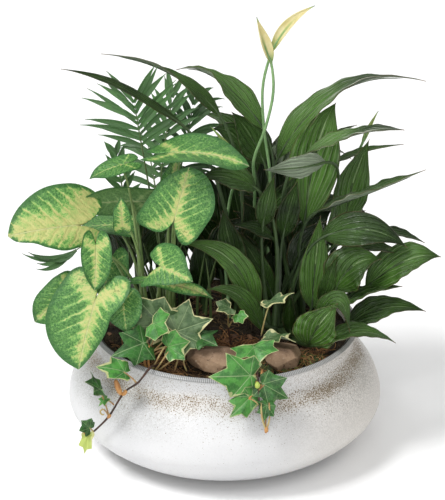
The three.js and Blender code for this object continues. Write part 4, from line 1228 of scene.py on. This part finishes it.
def stone(row):
    """A worn stone with a flat underside: a bumpy, pitted ball, split along a few planes."""
    (x, y), (a, b, height) = row["at"], row["size"]
    splits = [(Vector(way).normalized(), depth) for way, depth in row["splits"]]
    rise = height / (1 - STONE_FLAT)
    nothing_selected()
    bpy.ops.mesh.primitive_ico_sphere_add(subdivisions=6, radius=1)
    piece = bpy.context.object
    piece.name = row["name"] + "_worn"
    for corner in piece.data.vertices:
        p = corner.co.copy()
        bump = 1 + 0.07 * math.sin(3.1 * p.x + 1) * math.cos(2.7 * p.y) + 0.05 * math.sin(4.3 * p.z)
        pits = 0.03 * noise.turbulence(p * 4 + Vector((y, x, 0)), 5, True)
        p *= bump - pits + 0.1
        for way, depth in splits:
            p -= way * max(0.0, p.dot(way) - depth) * STONE_CUT
        p = Vector((p.x * a, p.y * b, max(p.z, STONE_FLAT) * rise))
        p.rotate(Matrix.Rotation(row["turn"], 3, "Z"))
        corner.co = (p + Vector((x, y, SOIL_TOP + 0.3 - STONE_FLAT * rise))) * MM
    piece.data.materials.append(LOOKS["stone"])
    return finished(piece, row["name"], 60)


def lily_plant(row, index):
    """One clump of lily leaves: a blade and a stalk for each, from one crown."""
    name, leaves = row["name"], row["leaves"]
    blades, stalks = [], []
    for i, (leaf, root) in enumerate(zip(leaves, roots_on(row["at"], row["radius"], leaves))):
        seed = 50 * index + 3 * i
        blades.append(blade("lily", leaf, "lily", seed, row["tones"][i]))
        point, heading = arc(*leaf[:3])
        end = point(PETIOLE_END)
        control = end - heading(0.001) * PETIOLE_SWEEP * np.linalg.norm(end - root)
        control[2] = max(control[2], CROWN_TOP)
        path = stalk_path(root, control, end, 6)
        face, tip_face = np.array(leaf[4], float), np.array(leaf[-1], float)
        for t in LILY_RIB_AT:
            way = heading(t)
            aside = unit(np.cross(way, face * (1 - t) + tip_face * t))
            path.append(point(t) - LILY_RIB_UNDER * np.cross(aside, way))
        stalks.append(stem("stem", path, LILY_STALK_RADII, "painted_shade_lily_stalk", seeded(seed)))
    return plant(name + "_plant", name, "lily", joined("blades", blades), stalks)


def bloom(row, index):
    """A bloom or bud: its stalk, and the spathe rolled round it."""
    name, hood = row["name"], row["spathe"]
    point, _ = arc(*hood[:3])
    path = [[*row["at"], z] for z in STEM_FOOT] + row["stalk"] + [point(t) for t in (0.0, 0.2, 0.42)]
    green = merged(stem("stem", path, BLOOM_STALK_RADII, "bloom_stalk"))
    finished(joined(name + "_stem", [green]), name + "_stalk", 60)
    sheet = blade("lily", hood, "spathe", 300 + index, row["tone"], roll=SPATHE_ROLL)
    sheet = given_thickness(joined(name + "_hood", [sheet]), SPATHE_THICKNESS)
    finished(sheet, name + "_spathe")


def arrowhead_vine(row, index):
    """One stem of the arrowhead vine: a spread leaf and an arched stalk for each of its leaves."""
    name, leaves = row["name"], row["leaves"]
    fans, stalks = [], []
    for i, (leaf, root) in enumerate(zip(leaves, roots_on(row["at"], row["radius"], leaves))):
        seed = 400 + 20 * index + i
        own = OWN_OUTLINES.get((name, i))
        fans.append(fan("fan", leaf, ARROWHEAD_FORM, smooth_reach, "arrowhead", seed, own))
        root, end = np.array(root), under_leaf(*leaf[:2])
        control = root + (end - root) * [ARCH_OUT, ARCH_OUT, ARCH_UP]
        path = stalk_path(root, control, end, 7)
        stalks.append(stem("stem", path, ARROWHEAD_RADII, "arrowhead_stalk", seeded(seed)))
    fans = merged(joined("fans", fans))
    return plant(name + "_vine", name, "arrowhead", fans, stalks)


def palm_frond(row, index):
    """A frond: leaflets in pairs, left and right of its upper rib."""
    at, bend, end, face, leaflet, pairs, start, tone, angles, droop = row
    path = curve_through([[*at, z] for z in STEM_FOOT] + [bend, end])
    down = np.array([0, 0, -1])
    leaflets = []
    for k in range(pairs + 1):
        share = k / pairs
        t = start + (RIB_END - start) * share
        centre, before, after = path(np.array([t, t - 0.004, t + 0.004]))
        along = unit(after - before)
        aside = unit(np.cross(along, np.array(face, float)))
        normal = np.cross(aside, along)
        for side in (-1, 1):
            seed = 40 * index + 2 * k + 0.5 * side
            turn = np.interp(share, [0, 1], angles) * side + SPREAD_SWAY * (seeded(seed) - 0.5)
            heading = along * math.cos(turn) + aside * math.sin(turn)
            length = leaflet * (0.62 + 0.38 * math.sin(math.pi * (0.15 + 0.75 * share)))
            length *= 0.9 + 0.2 * seeded(seed + 7)
            middle = centre + heading * length * 0.52 + down * (0.18 * droop - 0.03) * length
            tip = centre + heading * length + down * droop * length
            tilt = unit(normal + 0.35 * side * aside * (seeded(seed + 3) - 0.2))
            leaf = [centre, middle, tip, LEAFLET_WIDTH * (0.85 + 0.3 * seeded(seed + 5)), tilt]
            shade = tone + 0.5 * (seeded(seed + 1) - 0.5)
            leaflets.append(blade("leaflet", leaf, "palm", seed, shade, 0.3, 0.06))
    rib = stem("stem", path(np.linspace(0, RIB_END, 14)), PALM_RADII, "palm_stalk")
    name = f"frond_{index + 1}"
    return plant(name, "palm_" + name, "palm", joined("leaflets", leaflets), [rib], LEAFLET_THICKNESS)


def ivy_plant(row, index):
    """One ivy: its stem, its leaves on their bent stalks, and its dry sheaths, buds and bare stalks."""
    points = [[*row["at"], z] for z in STEM_FOOT] + row["stem"]
    count = 2 * len(points)
    radii = [IVY_STEM_RADIUS * (1.15 if k % 2 else 0.9) * (1.1 - 0.2 * k / count) for k in range(count)]
    fans, stalks = [], [stem("stem", points, radii, "ivy_stem", 0.2)]
    for i, leaf in enumerate(row["leaves"]):
        seed = 700 + 20 * index + i
        fans.append(fan("ivy", leaf[1:], IVY_FORM, pointed_reach, "ivy", seed))
        root, end = np.array(leaf[0], float), under_leaf(*leaf[1:3])
        knee = (root + end) / 2 + [0, 0, IVY_KNEE * np.linalg.norm(end - root)]
        path = bowed(root, knee, end, 5)
        stalks.append(stem("thin", path, IVY_PETIOLE_RADII, "ivy_petiole", seeded(seed)))
    for kind, points, radii in row.get("sprigs", []):
        stalks.append(stem("thin", points, radii, "ivy_" + kind, 0.2))
    fans = merged(joined("fans", fans))
    return plant(row["name"] + "_plant", row["name"], "ivy", fans, stalks, IVY_THICKNESS)


def shaded_growth():
    """The leaves and stems that fill the heart of the planting, rooted behind the front plants; the leaves
    and their stalks are painted in deep shade.
    """
    chance = random.Random(21)
    blades, stalks = [], []
    for i in range(SHADE_LEAVES):
        x, y = chance.uniform(*SHADE_WIDE), chance.uniform(*SHADE_DEEP)
        rise, lean = chance.uniform(*SHADE_RISE), chance.uniform(*SHADE_LEAN)
        base = [x + lean, y + chance.uniform(-4, 8), SOIL_TOP + rise]
        length = chance.uniform(*SHADE_LENGTH)
        middle = [base[0] + lean * 0.8, base[1] + 2, base[2] + length * 0.52]
        tip = [middle[0] + lean * 1.6, middle[1] + chance.uniform(-2, 12), middle[2] + length * 0.3]
        face = [chance.uniform(-0.6, 0.6), -1, 0.35]
        leaf = [base, middle, tip, chance.uniform(*SHADE_WIDTH), face]
        blades.append(blade("shade", leaf, "lily", 900 + i, chance.uniform(*SHADE_TONE)))
        path = [[x, y, STALK_BOTTOM], [x + lean * 0.3, y, SOIL_TOP + rise * 0.5], base, middle]
        stalks.append(stem("stem", path, [2.4, 1.9, 1.2, 0.3], "painted_shade_lily_stalk", 0.1))
    for _ in range(SHADE_STEMS):
        x, y = chance.uniform(*SHADE_STEM_WIDE), chance.uniform(*SHADE_STEM_DEEP)
        lean = chance.uniform(*SHADE_STEM_LEAN)
        top = SOIL_TOP + chance.uniform(*SHADE_STEM_RISE)
        end = [x + lean, y + chance.uniform(-6, 10), top]
        path = [[x, y, STALK_BOTTOM], [x + lean * 0.2, y, SOIL_TOP + 30], end]
        stalks.append(stem("stem", path, [1.5, 1.1, 0.5], "palm_stalk", chance.random()))
    return plant("shaded_growth", None, "lily", joined("blades", blades), stalks)


def aimed(name, data, place, target):
    """A camera or a lamp that stands at a place and looks at its target."""
    thing = bpy.data.objects.new(name, data)
    thing.location = place
    thing.rotation_euler = (Vector(target) - Vector(place)).to_track_quat("-Z", "Y").to_euler()
    bpy.context.scene.collection.objects.link(thing)
    return thing


def camera_and_light():
    scene = bpy.context.scene
    target = Vector(CAMERA_TARGET) * MM
    away = Vector((0, -math.cos(CAMERA_ELEVATION), math.sin(CAMERA_ELEVATION)))
    lens = bpy.data.cameras.new("camera")
    lens.lens = CAMERA_LENS
    scene.camera = aimed("camera", lens, target + away * CAMERA_DISTANCE * MM, target)
    for name, place, size, power in LIGHTS:
        lamp = bpy.data.lights.new(name, "AREA")
        lamp.size, lamp.energy = size, power
        aimed(name, lamp, place, LAMP_TARGET)
    scene.world = bpy.data.worlds.new("studio")
    scene.world.use_nodes = True
    sky = scene.world.node_tree.nodes["Background"].inputs
    sky["Color"].default_value = (1, 1, 1, 1)
    sky["Strength"].default_value = SKY
    scene.view_settings.view_transform = "Standard"
    nothing_selected()
    bpy.ops.mesh.primitive_plane_add(size=FLOOR_SIZE)
    floor = bpy.context.object
    floor.name = "floor"
    floor.location = (0, 0, -0.0005)
    floor.data.materials.append(pale_floor())


def finishes():
    """The finishes of the plants, the soil and the stones, by name."""
    looks = {name: stalk(name, *skin) for name, skin in STALK_SKINS.items()}
    looks.update(palm=palm_leaf(), spathe=spathe(), soil=potting_soil(), stone=worn_stone())
    for kind, leaf in (("lily", lily_leaf), ("arrowhead", arrowhead_leaf), ("ivy", ivy_leaf)):
        looks[kind] = leaf(kind + "_leaf", True)
        looks[kind + "_under"] = leaf(kind + "_underside", False)
    return looks


def planting():
    """Every piece of the planter, from the bowl up."""
    turned_bowl()
    soil_filling()
    for row in STONES:
        stone(row)
    loose_lumps(*CRUMBS, LOOKS["soil"])
    loose_lumps(*CHIPS, fibre("bark", *BARK))
    for row in TANGLES:
        tangle(row)
    for i, row in enumerate(LILIES):
        lily_plant(row, i)
    shaded_growth()
    for grown, rows in (
            (bloom, BLOOMS), (arrowhead_vine, ARROWHEADS), (palm_frond, FRONDS), (ivy_plant, IVIES)):
        for i, row in enumerate(rows):
            grown(row, i)


SHEETS = {name: blank_grid(name + "_sheet", *faces) for name, faces in SHEET_FACES.items()}
LOOKS = finishes()
camera_and_light()
planting()
